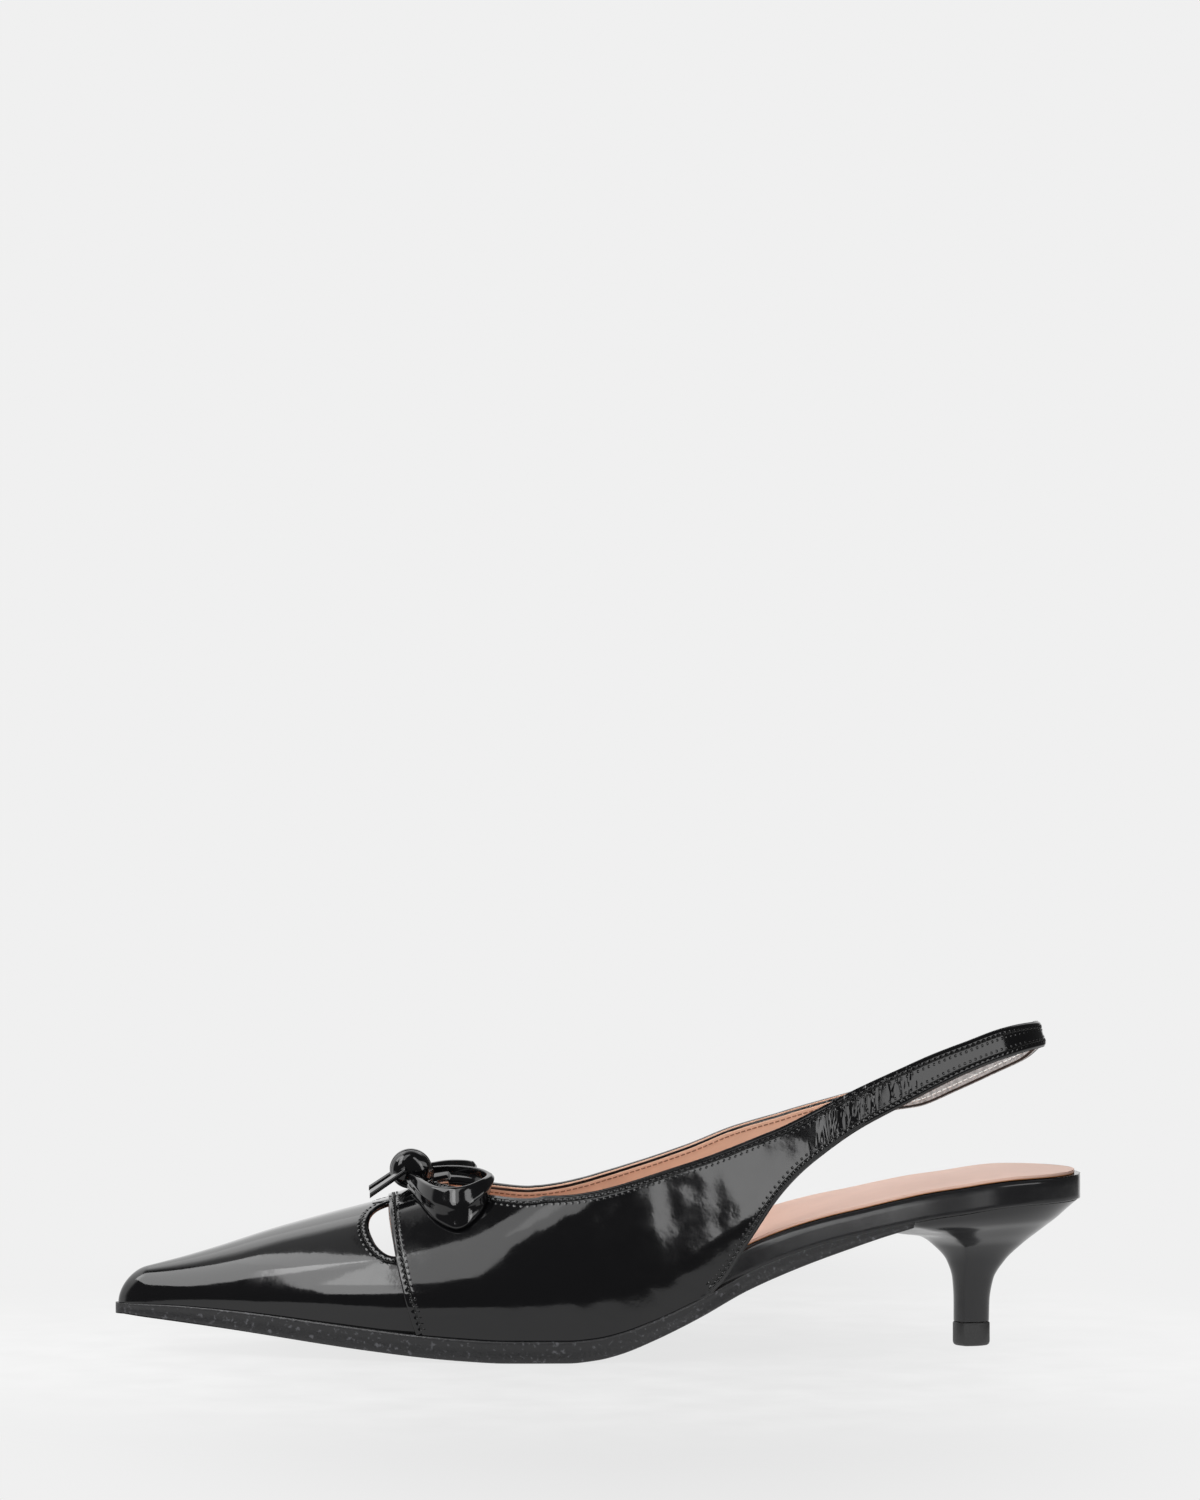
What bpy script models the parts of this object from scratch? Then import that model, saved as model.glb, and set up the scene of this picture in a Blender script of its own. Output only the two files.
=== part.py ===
"""Kitten heel slingback pump, left shoe: outsole, footbed, upper, heel and bow as separate closed solids.

The toe points to -X, the lateral side to -Y, and the floor is z = 0. Lengths are metres. Tables hold
shares of the named sizes, a row for each section.
"""

import math

import bmesh
import bpy
import numpy as np
from mathutils import Vector

# Last and stance
LENGTH = 0.263
LAST_WIDTH = 0.0732
SEAT_RISE = 0.0403
TOE_SPRING = 0.0102
INSTEP_HEIGHT = 0.0367
ARCH_LIFT = 0.0014
ARCH_WIDTH = 0.0244
TOE_NOSE = 0.0065
SEAT_RADIUS = 0.026

# Walls and layers
SOLE_THICKNESS = 0.0053
SOLE_MARGIN = 0.0004
SOLE_EDGE_ROUND = 0.0011
SOLE_BEAD = 0.0003
BOARD_THICKNESS = 0.002
BOARD_INSET = 0.0006
RAND_THICKNESS = 0.0068
RAND_ROUND = 0.0012
SOCK_THICKNESS = 0.0008
SOCK_INSET = 0.0016
CAP_WALL = 0.0016
QUARTER_WALL = 0.0023
SLING_WALL = 0.002
GAP = 0.0003
SEAM_GAP = 0.0006
BLEND_RUN = 0.016

# Opening, cut-outs and sling
SLING_RISE = 0.0485
SLING_BACK = 0.1184
SLING_TURN = 0.060
SLING_SPAN = 0.0278
SLING_LEAN = 0.29
SEAM_X = -0.0571
SEAM_SWEEP = 0.0067
SEAM_POWER = 1.8
STEP_RUN = 0.0005
THROAT_X = -0.0445
THROAT_END = -0.016
THROAT_POWER = 1.7
CUT_DEPTH = 0.006
CUT_LOW = 0.387
MEDIAL_CUT_LOW = 0.2
CUT_HIGH = 0.883
QUARTER_END = 0.028

# Heel
HEEL_BREAST = 0.0755
HEEL_CORNER = 0.0837
HEEL_INSET = 0.0012
HEEL_LIP_RUN = 0.024
TIP_BACK = 0.1066
TIP_LENGTH = 0.0097
TIP_CORNER = 0.0074
TIP_WIDTH = 0.0094
TIP_HEIGHT = 0.0064
TIP_MARGIN = 0.0002
TIP_CHAMFER = 0.0004

# Bow
BOW_X = -0.0515
KNOT_LENGTH = 0.011
KNOT_WIDTH = 0.0114
KNOT_HEIGHT = 0.0104
KNOT_TAPER = 0.12
KNOT_END = 0.3
RIBBON = 0.0014
LOOP_REACH = 0.0305
LOOP_SWEEP = 0.0206
LOOP_HEIGHT = 0.0113
FAR_LOOP_SHARE = 0.84
LOOP_DROP = 0.0095
LOOP_CREASE = 0.001
TAIL_SETBACK = 0.0018
TAIL_LENGTH = 0.0095
TAIL_WIDTH = 0.0055
TAIL_NECK = 0.8
TAIL_SPLAY = 0.0012
TAIL_RISE = 0.0057
TAIL_DROP = 0.0063
TAIL_CURL = 0.0006

SECTION_POWER = 2.2
BULGE_HEIGHT = 0.35
SEATED_GIRTH = 0.014
TOE_ALLOWANCE = CAP_WALL + GAP + SOLE_MARGIN
TOE_X = -LENGTH / 2 + TOE_ALLOWANCE
BED_LENGTH = LENGTH - TOE_ALLOWANCE
NEAR_MIDDLE = 1e-4
WELD = 1e-6

LATERAL, MEDIAL = -1, 1
SIDE_NAMES = {LATERAL: "lateral", MEDIAL: "medial"}


class Table:
    """A short table whose first column is the station. The others are read between rows by a monotone cubic
    that is eased over a short window, so that the surface has no creases at the rows."""

    SAMPLES = 1201

    def __init__(self, columns, rows, window=0.0):
        self.grid = np.linspace(rows[0][0], rows[-1][0], self.SAMPLES)
        stations = np.array([row[0] for row in rows])
        self.columns = {}
        for index, name in enumerate(columns[1:], 1):
            values = np.array([row[index] for row in rows], float)
            self.columns[name] = self.ease(self.cubic(stations, values), window)

    def cubic(self, stations, values):
        steps = np.diff(stations)
        rates = np.diff(values) / steps
        product = rates[:-1] * rates[1:]
        total = np.where(product > 0, rates[:-1] + rates[1:], 1.0)
        slopes = np.concatenate([rates[:1], np.where(product > 0, 2 * product / total, 0.0), rates[-1:]])
        cell = np.clip(np.searchsorted(stations, self.grid, side="right") - 1, 0, len(steps) - 1)
        part = (self.grid - stations[cell]) / steps[cell]
        rise = part * part * (3 - 2 * part)
        lead = part * (1 - part) ** 2 * steps[cell]
        tail = part * part * (part - 1) * steps[cell]
        blend = values[cell] + (values[cell + 1] - values[cell]) * rise
        return blend + slopes[cell] * lead + slopes[cell + 1] * tail

    def ease(self, samples, window):
        reach = int(round(window / (self.grid[1] - self.grid[0])))
        if reach < 1:
            return samples
        before = 2 * samples[0] - samples[reach:0:-1]
        after = 2 * samples[-1] - samples[-2 : -reach - 2 : -1]
        weights = np.hanning(2 * reach + 3)[1:-1]
        return np.convolve(np.concatenate([before, samples, after]), weights / weights.sum(), "valid")

    def __call__(self, column, station):
        return float(np.interp(station, self.grid, self.columns[column]))


# Half-widths as shares of LAST_WIDTH, crest as a share of INSTEP_HEIGHT. The bed is the last's bottom
# outline and the wall the widest the last gets above it. Behind the throat the crest is the instep that the
# walls lean to.
LAST = Table(
    ("station", "lateral_bed", "medial_bed", "lateral_wall", "medial_wall", "crest"),
    (
        (0.00, 0.035, 0.035, 0.037, 0.037, 0.190),
        (0.05, 0.124, 0.126, 0.130, 0.131, 0.271),
        (0.10, 0.206, 0.213, 0.216, 0.223, 0.387),
        (0.16, 0.290, 0.313, 0.303, 0.327, 0.558),
        (0.22, 0.365, 0.400, 0.383, 0.418, 0.719),
        (0.28, 0.425, 0.469, 0.445, 0.489, 0.875),
        (0.34, 0.467, 0.504, 0.490, 0.527, 1.055),
        (0.40, 0.496, 0.505, 0.519, 0.531, 1.253),
        (0.46, 0.503, 0.473, 0.523, 0.510, 1.452),
        (0.52, 0.488, 0.418, 0.505, 0.475, 1.630),
        (0.58, 0.454, 0.363, 0.475, 0.445, 1.740),
        (0.64, 0.419, 0.331, 0.448, 0.426, 1.790),
        (0.70, 0.398, 0.316, 0.423, 0.413, 1.847),
        (0.76, 0.381, 0.321, 0.407, 0.403, 1.935),
        (0.82, 0.372, 0.340, 0.402, 0.400, 2.050),
        (0.88, 0.361, 0.351, 0.402, 0.400, 2.166),
        (1.00, 0.357, 0.355, 0.402, 0.400, 2.370),
    ),
    window=0.03,
)

# Underside of the sole: spring is a share of TOE_SPRING, climb of SEAT_RISE. Flat between its two zero rows.
PROFILE = Table(
    ("station", "spring", "climb"),
    (
        (0.000, 1.000, 0.000),
        (0.054, 0.875, 0.000),
        (0.104, 0.745, 0.000),
        (0.154, 0.590, 0.000),
        (0.202, 0.430, 0.000),
        (0.250, 0.280, 0.000),
        (0.300, 0.145, 0.000),
        (0.350, 0.045, 0.000),
        (0.392, 0.000, 0.000),
        (0.455, 0.000, 0.000),
        (0.484, 0.000, 0.018),
        (0.507, 0.000, 0.052),
        (0.545, 0.000, 0.146),
        (0.595, 0.000, 0.298),
        (0.645, 0.000, 0.462),
        (0.695, 0.000, 0.597),
        (0.745, 0.000, 0.712),
        (0.796, 0.000, 0.819),
        (0.862, 0.000, 0.930),
        (0.929, 0.000, 0.988),
        (1.000, 0.000, 1.000),
    ),
)

# Sole as a share of SOLE_THICKNESS, rand as the share of the way from BOARD_THICKNESS to RAND_THICKNESS,
# arch as a share of ARCH_LIFT.
LAYERS = Table(
    ("station", "sole", "rand", "arch"),
    (
        (0.00, 0.42, 0.00, 0.00),
        (0.05, 0.68, 0.00, 0.00),
        (0.10, 0.82, 0.00, 0.00),
        (0.16, 0.93, 0.00, 0.00),
        (0.25, 1.00, 0.00, 0.00),
        (0.44, 1.00, 0.00, 0.00),
        (0.50, 0.98, 0.00, 0.20),
        (0.57, 0.87, 0.50, 0.70),
        (0.63, 0.84, 1.10, 1.00),
        (0.67, 0.80, 1.08, 1.00),
        (0.72, 0.68, 1.00, 0.80),
        (0.77, 0.42, 0.97, 0.45),
        (0.82, 0.20, 1.00, 0.15),
        (0.87, 0.00, 1.00, 0.00),
        (1.00, 0.00, 0.96, 0.00),
    ),
    window=0.02,
)

# Edges of the quarters and the sling: heights above the sole's top, as shares of SLING_RISE.
EDGES = Table(
    ("station", "lateral_top", "medial_top", "lateral_foot", "medial_foot"),
    (
        (0.383, 0.781, 0.735, 0.000, 0.000),
        (0.434, 0.763, 0.722, 0.000, 0.000),
        (0.461, 0.773, 0.742, 0.000, 0.000),
        (0.513, 0.788, 0.770, 0.000, 0.000),
        (0.552, 0.780, 0.760, 0.000, 0.000),
        (0.603, 0.745, 0.730, 0.012, 0.012),
        (0.641, 0.722, 0.712, 0.184, 0.184),
        (0.670, 0.718, 0.695, 0.345, 0.340),
        (0.695, 0.732, 0.685, 0.437, 0.425),
        (0.722, 0.760, 0.685, 0.505, 0.480),
        (0.756, 0.808, 0.695, 0.585, 0.528),
        (0.795, 0.856, 0.712, 0.650, 0.551),
        (0.832, 0.903, 0.733, 0.715, 0.546),
        (0.870, 0.946, 0.778, 0.778, 0.610),
        (0.910, 0.981, 0.848, 0.819, 0.695),
        (0.938, 0.991, 0.925, 0.843, 0.775),
        (0.9495, 0.988, 0.988, 0.848, 0.848),
    ),
    window=0.012,
)

# Heel sections from the top piece up to the seat: level is the share of SEAT_RISE, the others are the share
# of the way from the top piece's size to the seat's.
HEEL = Table(
    ("level", "back", "breast", "corner", "width"),
    (
        (0.16, 0.000, 0.000, 0.000, 0.000),
        (0.30, 0.006, 0.000, 0.000, 0.010),
        (0.45, 0.050, 0.016, 0.000, 0.035),
        (0.58, 0.185, 0.088, -0.015, 0.115),
        (0.70, 0.395, 0.265, 0.040, 0.280),
        (0.78, 0.560, 0.450, 0.220, 0.500),
        (0.83, 0.665, 0.780, 0.420, 0.650),
        (0.88, 0.770, 0.880, 0.680, 0.820),
        (0.94, 0.880, 0.950, 0.930, 0.940),
        (1.00, 1.000, 1.000, 1.000, 1.000),
    ),
)

# Ribbon of a bow loop, from the knot out along the front and back along the rear: along is a share of
# LOOP_SWEEP behind the knot's centre, out of LOOP_REACH. The ribbon's foot lies a share of LOOP_DROP below
# the bridge, its rim a share of LOOP_HEIGHT above the bridge, and the rim leans out by a share of it.
LOOP = Table(
    ("way", "along", "out", "drop", "rim", "lean"),
    (
        (0.00, -0.02, 0.200, -0.05, 0.420, 0.00),
        (0.11, 0.07, 0.440, 0.15, 0.390, 0.00),
        (0.22, 0.17, 0.690, 0.40, 0.295, -0.03),
        (0.34, 0.36, 0.900, 0.76, 0.207, -0.12),
        (0.46, 0.62, 1.000, 0.94, 0.230, -0.20),
        (0.58, 0.88, 0.920, 0.62, 0.385, -0.11),
        (0.69, 1.00, 0.690, 0.00, 0.480, 0.00),
        (0.80, 0.88, 0.460, -0.05, 0.570, 0.05),
        (0.90, 0.60, 0.310, -0.15, 0.605, 0.04),
        (1.00, 0.29, 0.200, -0.13, 0.560, 0.00),
    ),
    window=0.05,
)


def station(x):
    """Share of the last's length at which a section stands."""
    return (x - TOE_X) / BED_LENGTH


def name_of(side, column):
    return SIDE_NAMES[side] + "_" + column


def rounded(share):
    """Quarter circle that closes an outline at its end."""
    return math.sqrt(max(0.0, 1 - (1 - min(max(share, 0.0), 1.0)) ** 2))


def smooth(share):
    share = min(max(share, 0.0), 1.0)
    return share * share * (3 - 2 * share)


def bed_width(side, x, grow=0.0):
    """Half-width of the last's bottom at a section, or of an outline that stands out from it by grow."""
    width = LAST(name_of(side, "bed"), station(x)) * LAST_WIDTH
    toe = rounded((x - TOE_X + grow) / (TOE_NOSE + grow))
    seat = rounded((LENGTH / 2 - x + grow) / (SEAT_RADIUS + grow))
    return (width + grow) * toe * seat


def sole_bottom(x, y=0.0):
    at = station(x)
    low = PROFILE("spring", at) * TOE_SPRING + PROFILE("climb", at) * SEAT_RISE
    return low + arch_lift(x, y)


def arch_lift(x, y):
    """The medial edge of the waist stands higher than the lateral one."""
    share = min(max(y, 0.0) / ARCH_WIDTH, 1.0)
    return LAYERS("arch", station(x)) * ARCH_LIFT * share**2


def sole_top(x, y=0.0):
    return sole_bottom(x, y) + LAYERS("sole", station(x)) * SOLE_THICKNESS


def board_top(x, y=0.0):
    thickness = BOARD_THICKNESS + LAYERS("rand", station(x)) * (RAND_THICKNESS - BOARD_THICKNESS)
    return sole_top(x, y) + GAP + thickness


def board_grow(x):
    """The board stands a little clear of the upper's wall in front and has its full outline behind it."""
    return -BOARD_INSET * (1 - smooth((x - QUARTER_END) / BLEND_RUN))


def sling_run():
    """Length of the quarter ellipse that the sling follows from SLING_TURN to the back of the heel."""
    turns = np.linspace(0, math.pi / 2, 60)
    deep = (SLING_BACK - SLING_TURN) * np.sin(turns)
    return float(np.hypot(np.diff(deep), np.diff(SLING_SPAN * np.cos(turns))).sum())


def sling_angle(run):
    """How far round the quarter ellipse a run along the quarter has come, as an angle."""
    return min(max(run - SLING_TURN, 0.0) / sling_run(), 1.0) * math.pi / 2


def run_x(run):
    return min(run, SLING_TURN) + (SLING_BACK - SLING_TURN) * math.sin(sling_angle(run))


def share_of_height(girth):
    """Height of a point of the section as a share of the crest, from its place along the girth."""
    return math.sin(girth * math.pi / 2) ** (2 / SECTION_POWER)


def girth_at_height(share):
    return math.asin(min(max(share, 0.0), 1.0) ** (SECTION_POWER / 2)) * 2 / math.pi


def section_base(side, x):
    return sole_top(x, side * bed_width(side, x)) + SEAM_GAP


def section_crest(x):
    crest = LAST("crest", station(x)) * INSTEP_HEIGHT
    return sole_top(x) + GAP + crest * rounded((x - TOE_X) / TOE_NOSE)


def last_point(side, run, girth):
    """A point of the last's surface, which is the inner face of the upper: girth goes from 0 at the sole's
    edge to 1 at the crest."""
    x = run_x(run)
    share = share_of_height(girth)
    base = section_base(side, x)
    height = base + (section_crest(x) - base) * share
    bed = bed_width(side, x) + GAP * rounded((x - TOE_X) / TOE_NOSE)
    wall = LAST(name_of(side, "wall"), station(x)) * LAST_WIDTH
    wall *= rounded((x - TOE_X) / TOE_NOSE)
    if x > SLING_TURN:
        bed = LAST(name_of(side, "bed"), station(x)) * LAST_WIDTH
    width = bed + (wall - bed) * smooth(share / BULGE_HEIGHT)
    width *= math.cos(min(girth, 1.0) * math.pi / 2) ** (2 / SECTION_POWER)
    turn = sling_angle(run)
    lean = SLING_LEAN * (height - sole_top(x) - SLING_RISE)
    return Vector((x - lean * math.sin(turn) ** 2, side * width * math.cos(turn), height))


def edge_girth(side, run, column):
    """Place along the girth of the quarter's upper or lower edge."""
    x = run_x(run)
    height = sole_top(x) + GAP + EDGES(name_of(side, column), station(x)) * SLING_RISE
    base = section_base(side, x)
    return girth_at_height((height - base) / (section_crest(x) - base))


def throat_width(side, run):
    """Half-width of the throat: in plan it is a rounded V from the middle back to THROAT_END."""
    widest = last_point(side, THROAT_END, edge_girth(side, THROAT_END, "top"))
    share = min(max((THROAT_END - run) / (THROAT_END - THROAT_X), 0.0), 1.0)
    return abs(widest.y) * (1 - share**THROAT_POWER) ** (1 / THROAT_POWER)


def throat_girth(side, run):
    width = throat_width(side, run)
    low, high = 0.0, 1.0
    for _ in range(40):
        middle = (low + high) / 2
        if abs(last_point(side, run, middle).y) > width:
            low = middle
        else:
            high = middle
    return high


def top_girth(side, run):
    if run <= THROAT_X:
        return 1.0
    return throat_girth(side, run) if run < THROAT_END else edge_girth(side, run, "top")


def foot_girth(side, run):
    return 0.0 if run <= QUARTER_END else edge_girth(side, run, "foot")


def seam_x(girth):
    """The quarter's front edge, which sweeps back towards the sole."""
    return SEAM_X + SEAM_SWEEP * (1 - share_of_height(girth)) ** SEAM_POWER


def cut_low(side):
    """Lower end of a side's cut-out along the girth: the medial one reaches further down."""
    return CUT_LOW if side == LATERAL else MEDIAL_CUT_LOW


def cut_edge(side, girth):
    """Rear edge of the toe cap: on the seam, or in front of it at the cut-out."""
    low = cut_low(side)
    share = (girth - low) / (CUT_HIGH - low)
    if share <= 0 or share >= 1:
        return seam_x(girth)
    return seam_x(girth) - CUT_DEPTH * math.sqrt(4 * share * (1 - share))


def skin_point(side, run, girth, offset):
    """A point that stands out from the last by offset."""
    step = 0.0004
    ahead = last_point(side, run + step, girth) - last_point(side, run - step, girth)
    up = last_point(side, run, min(girth + 0.01, 1.0)) - last_point(side, run, max(girth - 0.01, 0.0))
    return last_point(side, run, girth) - ahead.cross(up).normalized() * side * offset


def vamp_height(x, y):
    """Height of the quarters' outer face over a point of the plan."""
    side = LATERAL if y < 0 else MEDIAL
    low, high = 0.0, 1.0
    for _ in range(40):
        middle = (low + high) / 2
        if abs(skin_point(side, x, middle, QUARTER_WALL).y) > abs(y):
            low = middle
        else:
            high = middle
    return skin_point(side, x, high, QUARTER_WALL).z


def bridge_height():
    """Height at which the bow sits on the centre strip."""
    return vamp_height(BOW_X, NEAR_MIDDLE) + GAP


def steps(start, stop, count):
    return [start + (stop - start) * index / count for index in range(count + 1)]


def toe_stations(reach, grow=0.0, count=6):
    """Sections that close the round toe, then lead on to reach."""
    start = TOE_X - grow
    nose = TOE_NOSE + grow
    return [start + nose * (1 - math.cos(turn)) for turn in steps(0, math.pi / 2, count)][:-1] + reach


# Sections that the outsole, the board and the sock share between the toe and the seat, and the points of
# the board's and the sock's faces between their sides
MIDDLE = steps(-0.118, 0.102, 44)
FACE_POINTS = (0.0, 0.6)


def seat_stations(grow=0.0, count=8):
    """Sections that close the round seat."""
    back = LENGTH / 2 + grow
    radius = SEAT_RADIUS + grow
    return [back - radius * (1 - math.sin(turn)) for turn in steps(0, math.pi / 2, count)]


def material(name, color, roughness, metallic=0.0):
    made = bpy.data.materials.new(name)
    made.use_nodes = True
    shader = made.node_tree.nodes["Principled BSDF"]
    shader.inputs["Base Color"].default_value = (*color, 1)
    shader.inputs["Roughness"].default_value = roughness
    shader.inputs["Metallic"].default_value = metallic
    return made


def add_object(name, mesh, color, roughness, crease=35):
    made = bpy.data.objects.new(name, mesh)
    bpy.data.collections["kitten_heel_pump"].objects.link(made)
    mesh.materials.append(material(name + "_finish", color, roughness))
    mesh.shade_smooth()
    mesh.set_sharp_from_angle(angle=math.radians(crease))
    return made


def mesh_of(name, bm):
    bmesh.ops.remove_doubles(bm, verts=bm.verts, dist=WELD)
    bmesh.ops.recalc_face_normals(bm, faces=bm.faces)
    if bm.calc_volume(signed=True) < 0:
        bmesh.ops.reverse_faces(bm, faces=bm.faces)
    mesh = bpy.data.meshes.new(name)
    bm.to_mesh(mesh)
    bm.free()
    return mesh


def loft(name, rings):
    """Closed solid through rings of as many points each, with a flat face at both ends."""
    bm = bmesh.new()
    made = [[bm.verts.new(point) for point in ring] for ring in rings]
    count = len(made[0])
    for one, two in zip(made, made[1:]):
        for index in range(count):
            after = (index + 1) % count
            bm.faces.new((one[index], one[after], two[after], two[index]))
    bm.faces.new(made[0][::-1])
    bm.faces.new(made[-1])
    bmesh.ops.dissolve_degenerate(bm, dist=WELD, edges=bm.edges)
    return mesh_of(name, bm)


def layer_ring(x, grow, low, high, edge, across, bow=0.0, closed=False):
    """Section of a flat layer between the faces low and high. Edge lists, from the bottom up, how far each
    point of the side is drawn in and its share of the height, and across the points of the faces between
    the sides, as shares of the half-widths. The middle of the section bows forward, and a closed section
    has no height."""
    widths = {side: bed_width(side, x, grow) for side in (LATERAL, MEDIAL)}
    sides = {}
    for side, width in widths.items():
        reach = max(width, 4 * SOLE_EDGE_ROUND)
        sides[side] = [(side * (1 - inset / reach), height) for inset, height in edge]
    plan = sides[LATERAL][::-1] + [(share, 0.0) for share in across]
    plan += sides[MEDIAL] + [(share, 1.0) for share in across[::-1]]
    ring = []
    for share, height in plan:
        place = x - bow * (1 - share * share)
        y = share * widths[LATERAL if share < 0 else MEDIAL]
        bottom, top = low(place, y), high(place, y)
        ring.append((place, y, bottom + (top - bottom) * (0.5 if closed else height)))
    return ring


def sole_grow(x):
    """The sole stands under the upper's wall in front and draws in under the footbed behind the quarters."""
    wide = GAP + QUARTER_WALL + SOLE_MARGIN
    lap = smooth((x - SEAM_X) / BLEND_RUN + 0.25)
    behind = smooth((x - QUARTER_END) / BLEND_RUN + 0.4)
    return (TOE_ALLOWANCE + (wide - TOE_ALLOWANCE) * lap) * (1 - behind)


def make_outsole():
    """Sole with its edge rounded below and a fine bead round the top of the edge. Its rear end bows forward
    round the lip of the heel's breast."""
    edge = (
        (SOLE_EDGE_ROUND, 0.00),
        (SOLE_EDGE_ROUND * 0.25, 0.16),
        (SOLE_BEAD, 0.72),
        (0.0, 0.80),
        (0.0, 1.00),
    )
    across = (-0.67, -0.33, 0.0, 0.33, 0.67)
    last = HEEL_CORNER - 2 * GAP
    rings = []
    for x in toe_stations([x for x in MIDDLE if x < last - BLEND_RUN / 8] + [last], TOE_ALLOWANCE):
        bow = (HEEL_CORNER - HEEL_BREAST) * smooth(1 - (last - x) / HEEL_LIP_RUN)
        rings.append(layer_ring(x, sole_grow(x), sole_bottom, sole_top, edge, across, bow))
    rings.append(layer_ring(x, sole_grow(x), sole_bottom, sole_top, edge, across, bow, closed=True))
    return add_object("outsole", loft("outsole", rings), (0.018, 0.018, 0.019), 0.42)


def board_low(x, y):
    return sole_top(x, y) + GAP


def make_board():
    """Insole board, thin in the forepart, and behind the quarters the thick covered edge of the footbed."""
    edge = (
        (0.0, 0.00),
        (0.0, 0.50),
        (RAND_ROUND * 0.2, 0.84),
        (RAND_ROUND, 1.00),
    )
    places = toe_stations(MIDDLE, -BOARD_INSET) + seat_stations()
    rings = [layer_ring(x, board_grow(x), board_low, board_top, edge, FACE_POINTS) for x in places]
    return add_object("insole_board", loft("insole_board", rings), (0.012, 0.012, 0.013), 0.16)


def sock_low(x, y):
    return board_top(x, y) + GAP


def sock_high(x, y):
    return sock_low(x, y) + SOCK_THICKNESS


def make_insole():
    """Thin sock glued on the board, drawn in from its edge."""
    edge = ((0.0, 0.00), (GAP, 1.00))
    places = toe_stations(MIDDLE, -SOCK_INSET, 5) + seat_stations(-SOCK_INSET, 7)
    rings = [layer_ring(x, -SOCK_INSET, sock_low, sock_high, edge, FACE_POINTS) for x in places]
    return add_object("insole", loft("insole", rings), (0.62, 0.36, 0.27), 0.55)


def girth_columns(side):
    """Places along the girth of the upper's grid: the cut-out's two ends fall on a column."""
    low = cut_low(side)
    return [0.0] + steps(SEATED_GIRTH, low, 4)[:-1] + steps(low, CUT_HIGH, 6) + [1.0]


def cap_grid(side, columns):
    """Toe cap from the toe, where both sides share their columns, to its rear edge."""
    nose = TOE_NOSE / (SEAM_X - TOE_X)
    shares = [nose * (1 - math.cos(turn)) for turn in steps(0, math.pi / 2, 6)][:-1] + steps(nose, 1.0, 9)
    starts = girth_columns(LATERAL)
    lengths = [cut_edge(side, girth) - TOE_X for girth in columns]
    grid = []
    for share in shares:
        row = []
        for length, start, end in zip(lengths, starts, columns):
            row.append(last_point(side, TOE_X + share * length, start + share * (end - start)))
        grid.append(row)
    return grid


def quarter_rows():
    """Where each row of the quarter's grid leaves the lower edge and reaches the upper one."""
    end = SLING_TURN + sling_run()
    top = steps(SEAM_X, THROAT_X, 2)
    throat = THROAT_END - THROAT_X
    top += [THROAT_X + throat * (1 - math.cos(turn)) for turn in steps(0, math.pi / 2, 6)][1:]
    top += steps(THROAT_END, QUARTER_END, 9)[1:]
    foot = steps(SEAM_X + SEAM_SWEEP, QUARTER_END, len(top) - 1)
    foot += steps(QUARTER_END, end, 20)[1:]
    top += steps(QUARTER_END, end, 20)[1:]
    foot.insert(1, foot[0] + STEP_RUN)
    top.insert(1, top[0] + STEP_RUN)
    return zip(foot, top)


def quarter_grid(side, columns):
    """Quarter from the seam to the throat, the topline and the end of the sling."""
    grid = []
    for foot, top in quarter_rows():
        low, high = foot_girth(side, foot), top_girth(side, top)
        row = []
        for girth in columns:
            lead = 1 - (1 - share_of_height(girth)) ** SEAM_POWER
            row.append(last_point(side, foot + (top - foot) * lead, low + (high - low) * girth))
        grid.append(row)
    return grid


def sheet(bm, grid, wall, layer):
    """Faces over a grid of points, whose points keep the wall's share in the given layer."""
    rows = [[bm.verts.new(point) for point in row] for row in grid]
    for row in rows:
        for vert in row:
            vert[layer][0] = wall
    for one, two in zip(rows, rows[1:]):
        for index in range(len(one) - 1):
            bm.faces.new((one[index], one[index + 1], two[index + 1], two[index]))


def make_upper():
    """One hollow wall, built outward from the last: the quarters lap over the toe cap in a step."""
    bm = bmesh.new()
    layer = bm.verts.layers.deform.verify()
    for side in (LATERAL, MEDIAL):
        columns = girth_columns(side)
        sheet(bm, cap_grid(side, columns), CAP_WALL / QUARTER_WALL, layer)
        grid = quarter_grid(side, columns)
        sheet(bm, grid[1:], 1.0, layer)
        sheet(bm, grid[:2], CAP_WALL / QUARTER_WALL, layer)
    for vert in bm.verts:
        if vert.co.x > SLING_TURN:
            share = smooth((vert.co.x - SLING_TURN) / BLEND_RUN)
            vert[layer][0] = 1 + (SLING_WALL / QUARTER_WALL - 1) * share
    bmesh.ops.remove_doubles(bm, verts=bm.verts, dist=WELD)
    bmesh.ops.recalc_face_normals(bm, faces=bm.faces)
    cap = [face for face in bm.faces if face.calc_center_median().x < SEAM_X]
    if max(cap, key=lambda face: face.calc_center_median().z).normal.z < 0:
        bmesh.ops.reverse_faces(bm, faces=bm.faces)
    mesh = bpy.data.meshes.new("upper")
    bm.to_mesh(mesh)
    bm.free()
    upper = add_object("upper", mesh, (0.008, 0.008, 0.009), 0.08, 30)
    upper.vertex_groups.new(name="wall")
    wall = upper.modifiers.new("wall", "SOLIDIFY")
    wall.thickness = QUARTER_WALL
    wall.offset = 1
    wall.vertex_group = "wall"
    return upper


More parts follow.
